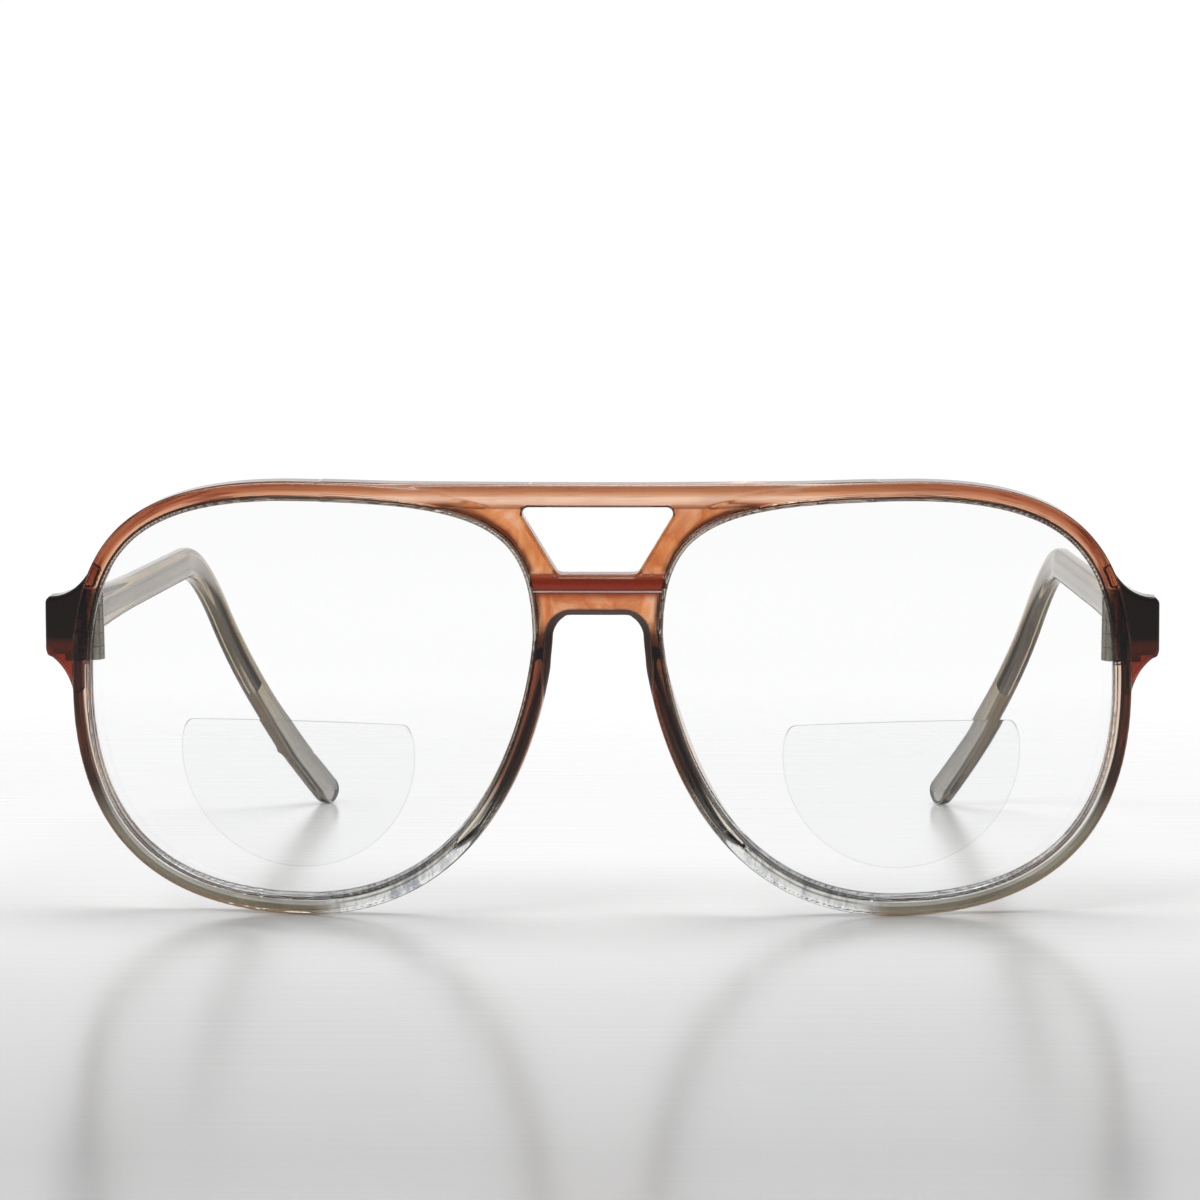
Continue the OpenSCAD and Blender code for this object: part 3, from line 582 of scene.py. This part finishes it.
def path_at(s):
    """Inset, length and height of the temple's middle line at a distance along it."""
    p = pitch_at(s)
    run, drop = min(s, RUN), max(0, s - RUN - BEND_L)
    z = BUTT_Z + run * math.sin(RISE) + BEND_R * (math.cos(p) - math.cos(RISE)) - drop * math.sin(BEND)
    y = BUTT_Y + run * math.cos(RISE) + BEND_R * (math.sin(p) + math.sin(RISE)) + drop * math.cos(BEND)
    x = TOE_IN * min(1, s / RUN) + TIP_IN * (max(0, s - RUN) / (TEMPLE_L - RUN)) ** 2
    return x, y, z


def blend3(s, a, b, c):
    """From a at the butt to b at the waist and c at the tip."""
    waist = RUN * 0.55
    if s < waist:
        return a + (b - a) * math.sin(math.pi / 2 * s / waist)
    return b + (c - b) * math.sin(math.pi / 2 * min(1, (s - waist) / (TEMPLE_L - waist))) ** 2


def oval(w, h, n):
    """A box with soft corners, as a power of the circle's sine and cosine."""
    a = np.arange(n) * 2 * math.pi / n
    sides = [size / 2 * (np.sign(c) * np.abs(c) ** 0.62) for size, c in ((w, np.cos(a)), (h, np.sin(a)))]
    return np.stack(sides, -1)


def ring_at(s, w, h, n, lean=False):
    x, y, z = path_at(s)
    p = -TILT if lean else pitch_at(s)
    yaw = 0 if lean else math.atan2(path_at(s + 0.5)[0] - path_at(s - 0.5)[0], 1)
    q = oval(w, h, n)
    return np.stack([TEMPLE_X - x + q[:, 0] * math.cos(yaw) - q[:, 1] * math.sin(p) * math.sin(yaw),
                     y - MID_Y + q[:, 0] * math.sin(yaw) + q[:, 1] * math.sin(p) * math.cos(yaw),
                     z + q[:, 1] * math.cos(p)], -1)


def tube(rings, first=0):
    n = len(rings[0])
    faces = []
    for i in range(len(rings) - 1):
        a, b = first + i * n, first + (i + 1) * n
        faces += [(a + j, a + (j + 1) % n, b + (j + 1) % n, b + j) for j in range(n)]
    return faces


def make_temple(name, sign):
    n = 48
    rings = []
    for s in [0] + list(np.linspace(1.2, TEMPLE_L, 110)):
        w, h = blend3(s, TEMPLE_T, WAIST_T, TIP_T), blend3(s, TEMPLE_H, WAIST_H, TIP_H)
        rings.append(ring_at(s, w, h, n, lean=s == 0))
    for t in (0.12, 0.25, 0.38, 0.5, 0.62, 0.72, 0.81, 0.88, 0.94, 0.98, 0.996):
        w, h = TIP_T * (1 - t * t) ** 0.3, TIP_H * math.sqrt(1 - t * t)
        rings.append(ring_at(TEMPLE_L + t * TIP_H / 2, w, h, n))
    hole = [ring_at(s, WIRE_T + 2 * WIRE_GAP, WIRE_H + 2 * WIRE_GAP, n, lean=s == 0)
            for s in [0] + list(np.linspace(1.2, WIRE_END, 90))]
    faces = tube(rings)
    k = len(rings) * n
    faces.append(tuple(range(k - n, k)))
    faces += [tuple(reversed(q)) for q in tube(hole, k)]
    total = k + len(hole) * n
    faces.append(tuple(reversed(range(total - n, total))))
    faces += [(j, k + j, k + (j + 1) % n, (j + 1) % n) for j in range(n)]
    return make_arm(name, rings + hole, faces, sign, 40)


def make_wire(name, sign):
    n = 32
    stations = [WIRE_SET] + list(np.linspace(WIRE_SET + 1, WIRE_END - WIRE_GAP, 90))
    rings = [ring_at(s, WIRE_T, WIRE_H, n, lean=s == WIRE_SET) for s in stations]
    faces = tube(rings) + [tuple(range(n)), tuple(range(len(rings) * n - n, len(rings) * n))]
    return make_arm(name, rings, faces, sign, 50)


def make_arm(name, rings, faces, sign, sharp):
    points = np.vstack(rings) * MM
    points[:, 0] *= sign
    obj = new_mesh(name, points, faces)
    set_normals(obj, sharp)
    return obj


# Materials
# spans of the object's own coordinates, in metres, over which the colours change
ROUND_X = 0.036, 0.046
FOOT_Z = 0.0352, 0.0332
BROWN_Z = 0.014, 0.034
DARK_X, DARK_Z = (0.0660, 0.0678), (0.0305, 0.0335)
CLEAR_TIP_Y = 0.045, 0.062
# width of the coloured bands round the front, in millimetres, and the plastic's density
BAND_SPAN = 3.0
DENSITY = 420.0


def rgb(code):
    """A colour written as in a picture, in linear light."""
    v = [int(code[i:i + 2], 16) / 255 for i in (0, 2, 4)]
    v = [c / 12.92 if c <= 0.04045 else ((c + 0.055) / 1.055) ** 2.4 for c in v]
    return tuple(v) + (1.0,)


def grey(level):
    return level, level, level, 1


def fill_ramp(node, stops):
    elements = node.color_ramp.elements
    while len(elements) < len(stops):
        elements.new(0.5)
    for element, (position, colour) in zip(elements, stops):
        element.position, element.color = position, colour


class Nodes:
    """Short helpers for one material's node tree."""

    def __init__(self, name):
        self.mat = bpy.data.materials.new(name)
        self.mat.use_nodes = True
        self.tree = self.mat.node_tree
        self.tree.nodes.clear()
        self.out = self.add("ShaderNodeOutputMaterial")
        self.place = self.add("ShaderNodeTexCoord").outputs["Object"]

    def add(self, kind, **settings):
        node = self.tree.nodes.new(kind)
        for key, value in settings.items():
            setattr(node, key, value)
        return node

    def link(self, a, b):
        self.tree.links.new(a, b)

    def put(self, socket, value):
        if isinstance(value, bpy.types.NodeSocket):
            self.link(value, socket)
        else:
            socket.default_value = value

    def axes(self):
        node = self.add("ShaderNodeSeparateXYZ")
        self.link(self.place, node.inputs["Vector"])
        return node.outputs

    def math(self, kind, *values):
        node = self.add("ShaderNodeMath", operation=kind)
        for socket, value in zip(node.inputs, values):
            self.put(socket, value)
        return node.outputs[0]

    def noise(self, scale, detail, rough, vector=None, distortion=0.0):
        node = self.add("ShaderNodeTexNoise")
        node.inputs["Scale"].default_value = scale
        node.inputs["Detail"].default_value = detail
        node.inputs["Roughness"].default_value = rough
        node.inputs["Distortion"].default_value = distortion
        self.link(vector or self.place, node.inputs["Vector"])
        return node.outputs["Fac"]

    def mark(self, name):
        return self.add("ShaderNodeAttribute", attribute_name=name).outputs["Fac"]

    def stretched(self, scale):
        node = self.add("ShaderNodeMapping")
        self.link(self.place, node.inputs["Vector"])
        node.inputs["Scale"].default_value = scale
        return node.outputs["Vector"]

    def ramp(self, factor, stops):
        node = self.add("ShaderNodeValToRGB")
        fill_ramp(node, stops)
        self.link(factor, node.inputs["Fac"])
        return node.outputs["Color"]

    def colours(self, factor, *stops, span=1.0):
        return self.ramp(factor, [(at / span, rgb(code)) for at, code in stops])

    def remap(self, value, lo, hi, a=0.0, b=1.0):
        node = self.add("ShaderNodeMapRange", clamp=True)
        inputs = {"Value": value, "From Min": lo, "From Max": hi, "To Min": a, "To Max": b}
        for key, given in inputs.items():
            self.put(node.inputs[key], given)
        return node.outputs["Result"]

    def mix(self, factor, a, b, kind="MIX"):
        node = self.add("ShaderNodeMix", data_type="RGBA", blend_type=kind)
        self.put(node.inputs["Factor"], factor)
        self.put(node.inputs[6], a)
        self.put(node.inputs[7], b)
        return node.outputs[2]

    def bump(self, height, distance, strength):
        node = self.add("ShaderNodeBump")
        node.inputs["Distance"].default_value = distance
        node.inputs["Strength"].default_value = strength
        self.link(height, node.inputs["Height"])
        return node.outputs["Normal"]

    def shader(self, **values):
        node = self.add("ShaderNodeBsdfPrincipled")
        for key, value in values.items():
            self.put(node.inputs[key], value)
        self.link(node.outputs["BSDF"], self.out.inputs["Surface"])
        return node

    def absorb(self, colour):
        node = self.add("ShaderNodeVolumeAbsorption")
        self.put(node.inputs["Color"], colour)
        node.inputs["Density"].default_value = DENSITY
        self.link(node.outputs["Volume"], self.out.inputs["Volume"])


def front_plastic():
    m = Nodes("front_plastic")
    outer, inner, along = m.mark("outer"), m.mark("inner"), m.mark("along")
    x, _, z = m.axes()
    side = m.math("ABSOLUTE", x)

    # colours change along the front only slowly, and across it in thin bands and streaks; the bands are
    # partly the plastic's own brown and clear tones and partly painted light: their whitish bands are
    # painted highlights and their thin dark lines painted shade, as the clear rim bends and mirrors the
    # light
    line = m.add("ShaderNodeCombineXYZ")
    m.link(m.math("MULTIPLY", along, 0.09), line.inputs["X"])
    m.link(m.math("MULTIPLY", outer, 1.4), line.inputs["Y"])
    streak = m.noise(1.0, 3, 0.6, line.outputs["Vector"], 0.4)
    wander = m.math("SUBTRACT", m.noise(1.0, 2, 0.5, m.stretched((45, 45, 45))), 0.5)
    wander = m.math("MULTIPLY", wander, 0.4)
    depth = m.math("DIVIDE", m.math("ADD", outer, wander), BAND_SPAN)

    def tone_and_painted_light_bands(*stops):
        return m.colours(depth, *stops, span=BAND_SPAN)

    low = tone_and_painted_light_bands((0.0, "9A5424"), (0.14, "A46C3E"), (0.26, "787060"), (0.7, "908878"), (1.15, "827A68"),
                (1.28, "5A616B"), (1.38, "E8EEF4"), (1.5, "FFFFFF"), (2.02, "FFFFFF"), (2.1, "6E4A30"),
                (2.2, "C8D2DC"), (2.5, "8E9AA6"))
    crystal = tone_and_painted_light_bands((0.0, "4A3A30"), (0.1, "6A5A4E"), (0.2, "FFFFFF"), (0.7, "F2F4F8"), (1.25, "FFFFFF"),
                    (1.45, "4A3C32"), (1.6, "B8B4AA"), (1.75, "FFFFFF"), (2.05, "FFFFFF"), (2.15, "5E4432"),
                    (2.28, "DDE2E6"), (2.5, "98A0A8"))
    shine = m.remap(m.noise(1.0, 4, 0.7, m.stretched((700, 700, 260))), 0.50, 0.60)
    crystal = m.mix(m.math("MULTIPLY", shine, 0.7), crystal, rgb("8890A0"), "MULTIPLY")
    edge = tone_and_painted_light_bands((0.0, "F2A060"), (0.14, "C0662E"), (0.28, "2A170D"), (0.9, "382010"), (1.2, "281810"),
                 (1.36, "201610"), (1.48, "FFFFFF"), (1.75, "D6DCE2"), (1.9, "FFFFFF"), (2.1, "F4F8FA"),
                 (2.2, "7A6450"), (2.32, "DCE6F0"), (2.5, "8A96A8"))
    leg = tone_and_painted_light_bands((0.0, "241812"), (0.12, "7E5640"), (0.3, "B47A58"), (0.42, "3A261C"), (1.0, "2C1E16"),
                (1.5, "4E2A1C"), (1.7, "33221A"), (1.98, "2A1E18"), (2.1, "F0F2F2"), (2.5, "C8CCCE"))
    high = tone_and_painted_light_bands((0.0, "3A241A"), (0.1, "5A3A2C"), (0.18, "E8D2C2"), (0.3, "A88C7E"), (0.7, "A08070"),
                 (0.95, "A8704F"), (1.25, "C88C60"), (1.5, "E2B896"), (1.7, "FFFFFF"), (2.35, "FFF8F0"),
                 (2.6, "E8C8B0"), (2.8, "A0603C"), (2.95, "3E2016"))
    darker = tone_and_painted_light_bands((0.0, "3A241A"), (0.1, "4A2E22"), (0.2, "D8B49C"), (0.32, "B57D64"), (1.2, "AE7256"),
                   (1.45, "D8A888"), (1.75, "F4E2D4"), (2.0, "D8B090"), (2.12, "3E2A20"), (2.3, "3E2A20"))
    round_side = m.remap(side, *ROUND_X)
    high = m.mix(round_side, high, darker)
    red = m.remap(streak, 0.52, 0.62)
    red_above = m.math("MULTIPLY", red, m.remap(round_side, 0, 1, 0.3, 0.85))
    high = m.mix(red_above, high, rgb("8E4526"), "MULTIPLY")
    leg = m.mix(m.math("MULTIPLY", red, 0.75), leg, rgb("84341A"))
    edge = m.mix(m.math("MULTIPLY", red, m.remap(outer, 1.3, 1.0)), edge, rgb("64301A"))

    # cheeks and web are plain copper with soft clouds; their darker edge by the lens is painted shade
    cloud = m.noise(1.0, 3, 0.55, m.stretched((170, 60, 170)), 0.9)
    copper = m.colours(cloud, (0.34, "F6DCC4"), (0.46, "EDB27F"), (0.56, "CC8450"), (0.68, "EFC8A6"))
    painted_shade_by_lens = m.math("MULTIPLY", m.remap(inner, 1.5, 0.9), m.remap(streak, 0.30, 0.48))
    copper = m.mix(painted_shade_by_lens, copper, rgb("4A2213"))
    rail = m.mark("rail")
    # the bead's reds are its own colour; its white line is a painted highlight and the near-black lines on
    # either side of it painted shade
    bead_red_and_painted_light = m.colours(rail, (0.0, "8A3014"), (0.07, "35120A"), (0.11, "FFFFFF"), (0.15, "FFFFFF"),
                         (0.20, "35120A"), (0.34, "8E3216"), (0.58, "842A12"), (0.70, "6A3424"),
                         (0.80, "9A7060"), (0.90, "D8C4B6"))

    above, legs, cheek, bead = m.mark("high"), m.mark("leg"), m.mark("cheek"), m.mark("bead")
    tint = m.mix(m.mark("crystal"), low, crystal)
    tint = m.mix(m.mark("side"), tint, edge)
    tint = m.mix(legs, tint, leg)
    tint = m.mix(above, tint, high)
    tint = m.mix(cheek, tint, copper)
    tint = m.mix(bead, tint, bead_red_and_painted_light)
    # the lip by the lens: a whitish band of painted highlight and a dark line of painted shade
    lip_painted_light = m.colours(inner, (0.0, "8E949A"), (0.12, "E6E8E8"), (0.40, "DADCDA"), (0.47, "3A2A22"),
                    (0.56, "3A2A22"))
    upper = m.math("MAXIMUM", above, m.math("MAXIMUM", legs, cheek))
    tint = m.mix(m.math("MULTIPLY", upper, m.remap(inner, 0.64, 0.56)), tint, lip_painted_light)
    arch, end = m.mark("arch"), m.mark("end")
    # painted shade: the nose arch's bevel, facing down, is tinted dark
    tint = m.mix(arch, tint, rgb("3A1E10"))
    tint = m.mix(m.mark("pad"), tint, rgb("E8D6C8"))
    foot = m.remap(z, *FOOT_Z)
    tint = m.mix(end, tint, m.mix(foot, rgb("1C0D06"), rgb("A8452A")))

    # the bead's white line is a painted highlight, a diffuse white that lets less light through; the arch,
    # darkened by painted shade, and the end pieces let less light through as well
    from_line = m.math("ABSOLUTE", m.math("SUBTRACT", rail, 0.13))
    painted_highlight_line = m.math("MULTIPLY", bead, m.remap(from_line, 0.045, 0.02))
    solid_end = m.math("MULTIPLY", end, m.remap(foot, 0, 1, 0.8, 0.1))
    solid = m.math("MAXIMUM", solid_end, m.math("MULTIPLY", arch, 0.8))
    clear = m.math("SUBTRACT", 1.0, m.math("MAXIMUM", solid, m.math("MULTIPLY", painted_highlight_line, 0.8)))
    m.shader(**{"Base Color": tint, "Roughness": m.remap(arch, 0, 1, 0.03, 0.5), "IOR": PLASTIC_INDEX,
                "Transmission Weight": clear, "Normal": m.bump(m.noise(60, 3, 0.5), 0.00006, 0.35)})

    # the plastic itself: brown above, nearly clear below, and darkest in the end pieces
    body = m.ramp(m.remap(z, *BROWN_Z), [(0.0, (0.90, 0.90, 0.87, 1)), (1.0, (0.90, 0.66, 0.48, 1))])
    at_end = m.math("MULTIPLY", m.remap(side, *DARK_X), m.remap(z, *DARK_Z))
    m.absorb(m.mix(at_end, body, (0.45, 0.16, 0.05, 1)))
    return m.mat


def lens_plastic():
    m = Nodes("lens_plastic")
    tint = m.mix(m.noise(900, 1, 0.5), (0.985, 0.99, 0.99, 1), (0.995, 0.998, 0.998, 1))
    # the segment's faint grey tint and the dark line round it are painted shade that make its edge show
    tint = m.mix(m.mark("inside"), tint, (0.925, 0.93, 0.935, 1))
    tint = m.mix(m.mark("line"), tint, (0.10, 0.11, 0.12, 1))
    m.shader(**{"Base Color": tint, "Roughness": 0.0, "IOR": LENS_INDEX, "Transmission Weight": 1.0})
    return m.mat


def temple_plastic():
    m = Nodes("temple_plastic")
    cloud = m.noise(1.0, 3, 0.5, m.stretched((120, 30, 120)))
    tint = m.colours(cloud, (0.3, "DDD0B8"), (0.7, "C8B89A"))
    tint = m.mix(m.remap(m.axes()["Y"], *CLEAR_TIP_Y), tint, rgb("BFC4CC"))
    m.shader(**{"Base Color": tint, "Roughness": 0.06, "IOR": PLASTIC_INDEX, "Transmission Weight": 1.0,
                "Normal": m.bump(m.noise(80, 3, 0.5), 0.00005, 0.35)})
    m.absorb((0.74, 0.66, 0.52, 1))
    return m.mat


def metal(name, light, dark, rough, grain):
    m = Nodes(name)
    lines = m.noise(1.0, 4, 0.6, m.stretched(grain))
    spots = m.noise(700, 3, 0.6)
    colour = m.mix(m.math("MULTIPLY", spots, lines), dark, light)
    roughness = m.remap(lines, 0.2, 0.8, rough, rough + 0.16)
    m.shader(**{"Base Color": colour, "Metallic": 1.0, "Roughness": roughness,
                "Normal": m.bump(lines, 0.00004, 0.5)})
    return m.mat


FRONT, LENS, TEMPLE = front_plastic(), lens_plastic(), temple_plastic()
NICKEL = metal("nickel_silver", rgb("D8D3C6"), rgb("A29C8E"), 0.22, (300, 300, 2600))
WIRE = metal("drawn_wire", rgb("8E877A"), rgb("4A453D"), 0.3, (4000, 60, 4000))
SCREW = metal("bright_screw", rgb("E6E1D4"), rgb("A39C8C"), 0.12, (5000, 5000, 900))


def dress(obj, material, body=None, stands_for=None):
    obj.data.materials.clear()
    obj.data.materials.append(material)
    if body:
        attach(obj, body)
        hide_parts(stands_for)


dress(make_front(), FRONT, "front", "front_frame")
for side, sign in (("left", 1), ("right", -1)):
    dress(make_lens("lens_" + side + "_clear", sign), LENS, "front", "lens_" + side)
    arm = side + "_temple"
    dress(make_temple("arm_" + side, sign), TEMPLE, arm, "temple_" + side)
    dress(make_wire("wire_" + side, sign), WIRE, arm, "core_wire_" + side)
    for node in ("front_hinge_leaf_", "temple_hinge_leaf_", "hinge_screw_"):
        obj = frame["nodes"][node + side]
        dress(obj, SCREW if "screw" in node else NICKEL)
        bevel = obj.modifiers.new("edges", "BEVEL")
        bevel.width, bevel.segments, bevel.limit_method = HINGE_EDGE * MM, 2, "ANGLE"
        bevel.angle_limit = math.radians(40)


# Stage, light and camera
FLOOR_X, FLOOR_NEAR, FLOOR_END = 1.6, -1.8, 0.30
FADE_FROM, FADE_REACH = 0.10, (0.26, 0.62)
# painted light and shade on the floor: how light its colour is, from 0.55 m before the middle of the
# glasses (0) to their middle (1); darkest about 0.2 m before them, standing in for the light's falloff
SHADE_Y = -0.55, 0.0
FLOOR_PAINTED_SHADE = ((0.0, 0.80), (0.3, 0.66), (0.62, 0.42), (0.77, 0.54), (0.93, 0.74), (1.0, 0.80))
# how light the surroundings are, from the side of the camera (0) to the far side (1)
BACKDROP = 1.03
AROUND = ((0.0, 0.25), (0.35, 0.28), (0.48, 0.52), (0.57, 0.52), (0.72, 0.12), (0.935, 0.12),
          (0.965, BACKDROP))
# the camera, fitted to the photo: its place in millimetres, its turn, and pixels of the photo
CAMERA_AT, YAW, PITCH = (17.1, -500.6, 62.8), math.radians(-1.16), math.radians(2.96)
PHOTO_PX, FOCAL_PX, SHIFT_PX = 1200, 3452, -65
SENSOR = 36.0


def make_floor():
    corners = [(-FLOOR_X, FLOOR_NEAR, 0), (FLOOR_X, FLOOR_NEAR, 0),
               (FLOOR_X, FLOOR_END, 0), (-FLOOR_X, FLOOR_END, 0)]
    obj = new_mesh("floor", corners, [(0, 1, 2, 3)])
    m = Nodes("floor")
    across, along, _ = m.axes()
    grain = m.noise(1.0, 3, 0.6, m.stretched((25, 700, 1)))
    painted_floor_shade = m.ramp(m.remap(along, *SHADE_Y), [(at, grey(level)) for at, level in FLOOR_PAINTED_SHADE])
    node = m.shader(**{"Base Color": painted_floor_shade, "Roughness": m.remap(grain, 0.3, 0.7, 0.16, 0.22), "IOR": 1.45,
                       "Normal": m.bump(grain, 0.00002, 0.4)})
    # the floor fades into the backdrop with distance
    square = m.math("ADD", m.math("MULTIPLY", across, across), m.math("MULTIPLY", along, along))
    reach = m.remap(m.math("SQRT", square), *FADE_REACH)
    fade = m.add("ShaderNodeMixShader")
    m.link(m.math("MAXIMUM", m.remap(along, FADE_FROM, FLOOR_END), reach), fade.inputs[0])
    m.link(node.outputs["BSDF"], fade.inputs[1])
    m.link(m.add("ShaderNodeBsdfTransparent").outputs["BSDF"], fade.inputs[2])
    m.link(fade.outputs[0], m.out.inputs["Surface"])
    obj.data.materials.append(m.mat)


def make_world():
    world = bpy.data.worlds.new("studio")
    bpy.context.scene.world = world
    world.use_nodes = True
    tree = world.node_tree
    tree.nodes.clear()
    coord = tree.nodes.new("ShaderNodeTexCoord")
    xyz = tree.nodes.new("ShaderNodeSeparateXYZ")
    ramp = tree.nodes.new("ShaderNodeValToRGB")
    back = tree.nodes.new("ShaderNodeBackground")
    out = tree.nodes.new("ShaderNodeOutputWorld")
    tree.links.new(coord.outputs["Generated"], xyz.inputs["Vector"])
    shift = tree.nodes.new("ShaderNodeMapRange")
    tree.links.new(xyz.outputs["Y"], shift.inputs["Value"])
    shift.inputs["From Min"].default_value = -1
    tree.links.new(shift.outputs["Result"], ramp.inputs["Fac"])
    fill_ramp(ramp, [(at, grey(level)) for at, level in AROUND])
    # what the plastic and the lenses bend and mirror is shaded; the plain backdrop is white all round
    path = tree.nodes.new("ShaderNodeLightPath")
    mix = tree.nodes.new("ShaderNodeMix")
    mix.data_type = "RGBA"
    tree.links.new(path.outputs["Is Camera Ray"], mix.inputs["Factor"])
    tree.links.new(ramp.outputs["Color"], mix.inputs[6])
    mix.inputs[7].default_value = grey(BACKDROP)
    tree.links.new(mix.outputs[2], back.inputs["Color"])
    tree.links.new(back.outputs["Background"], out.inputs["Surface"])


def softbox(name, where, target, size, power):
    light = bpy.data.lights.new(name, "AREA")
    light.shape, light.size, light.size_y, light.energy = "RECTANGLE", size[0], size[1], power
    obj = bpy.data.objects.new(name, light)
    bpy.context.scene.collection.objects.link(obj)
    obj.location = where
    obj.rotation_euler = (Vector(target) - Vector(where)).to_track_quat("-Z", "Y").to_euler()


def make_camera():
    cam = bpy.data.cameras.new("camera")
    cam.sensor_width = SENSOR
    cam.lens = SENSOR * FOCAL_PX / PHOTO_PX
    cam.shift_x = SHIFT_PX / PHOTO_PX
    cam.clip_start, cam.clip_end = 0.01, 20
    eye = bpy.data.objects.new("camera", cam)
    bpy.context.scene.collection.objects.link(eye)
    bpy.context.scene.camera = eye
    eye.location = Vector(CAMERA_AT) * MM
    look = Vector((math.sin(YAW) * math.cos(PITCH), math.cos(YAW) * math.cos(PITCH), -math.sin(PITCH)))
    eye.rotation_euler = look.to_track_quat("-Z", "Y").to_euler()


make_floor()
make_world()
softbox("key", where=(-0.5, -0.7, 0.9), target=(0, 0, 0.02), size=(0.6, 0.4), power=5)
softbox("top", where=(0.1, 0.1, 0.9), target=(0, 0, 0), size=(0.8, 0.5), power=6)
make_camera()
bpy.context.scene.view_settings.view_transform = "Standard"
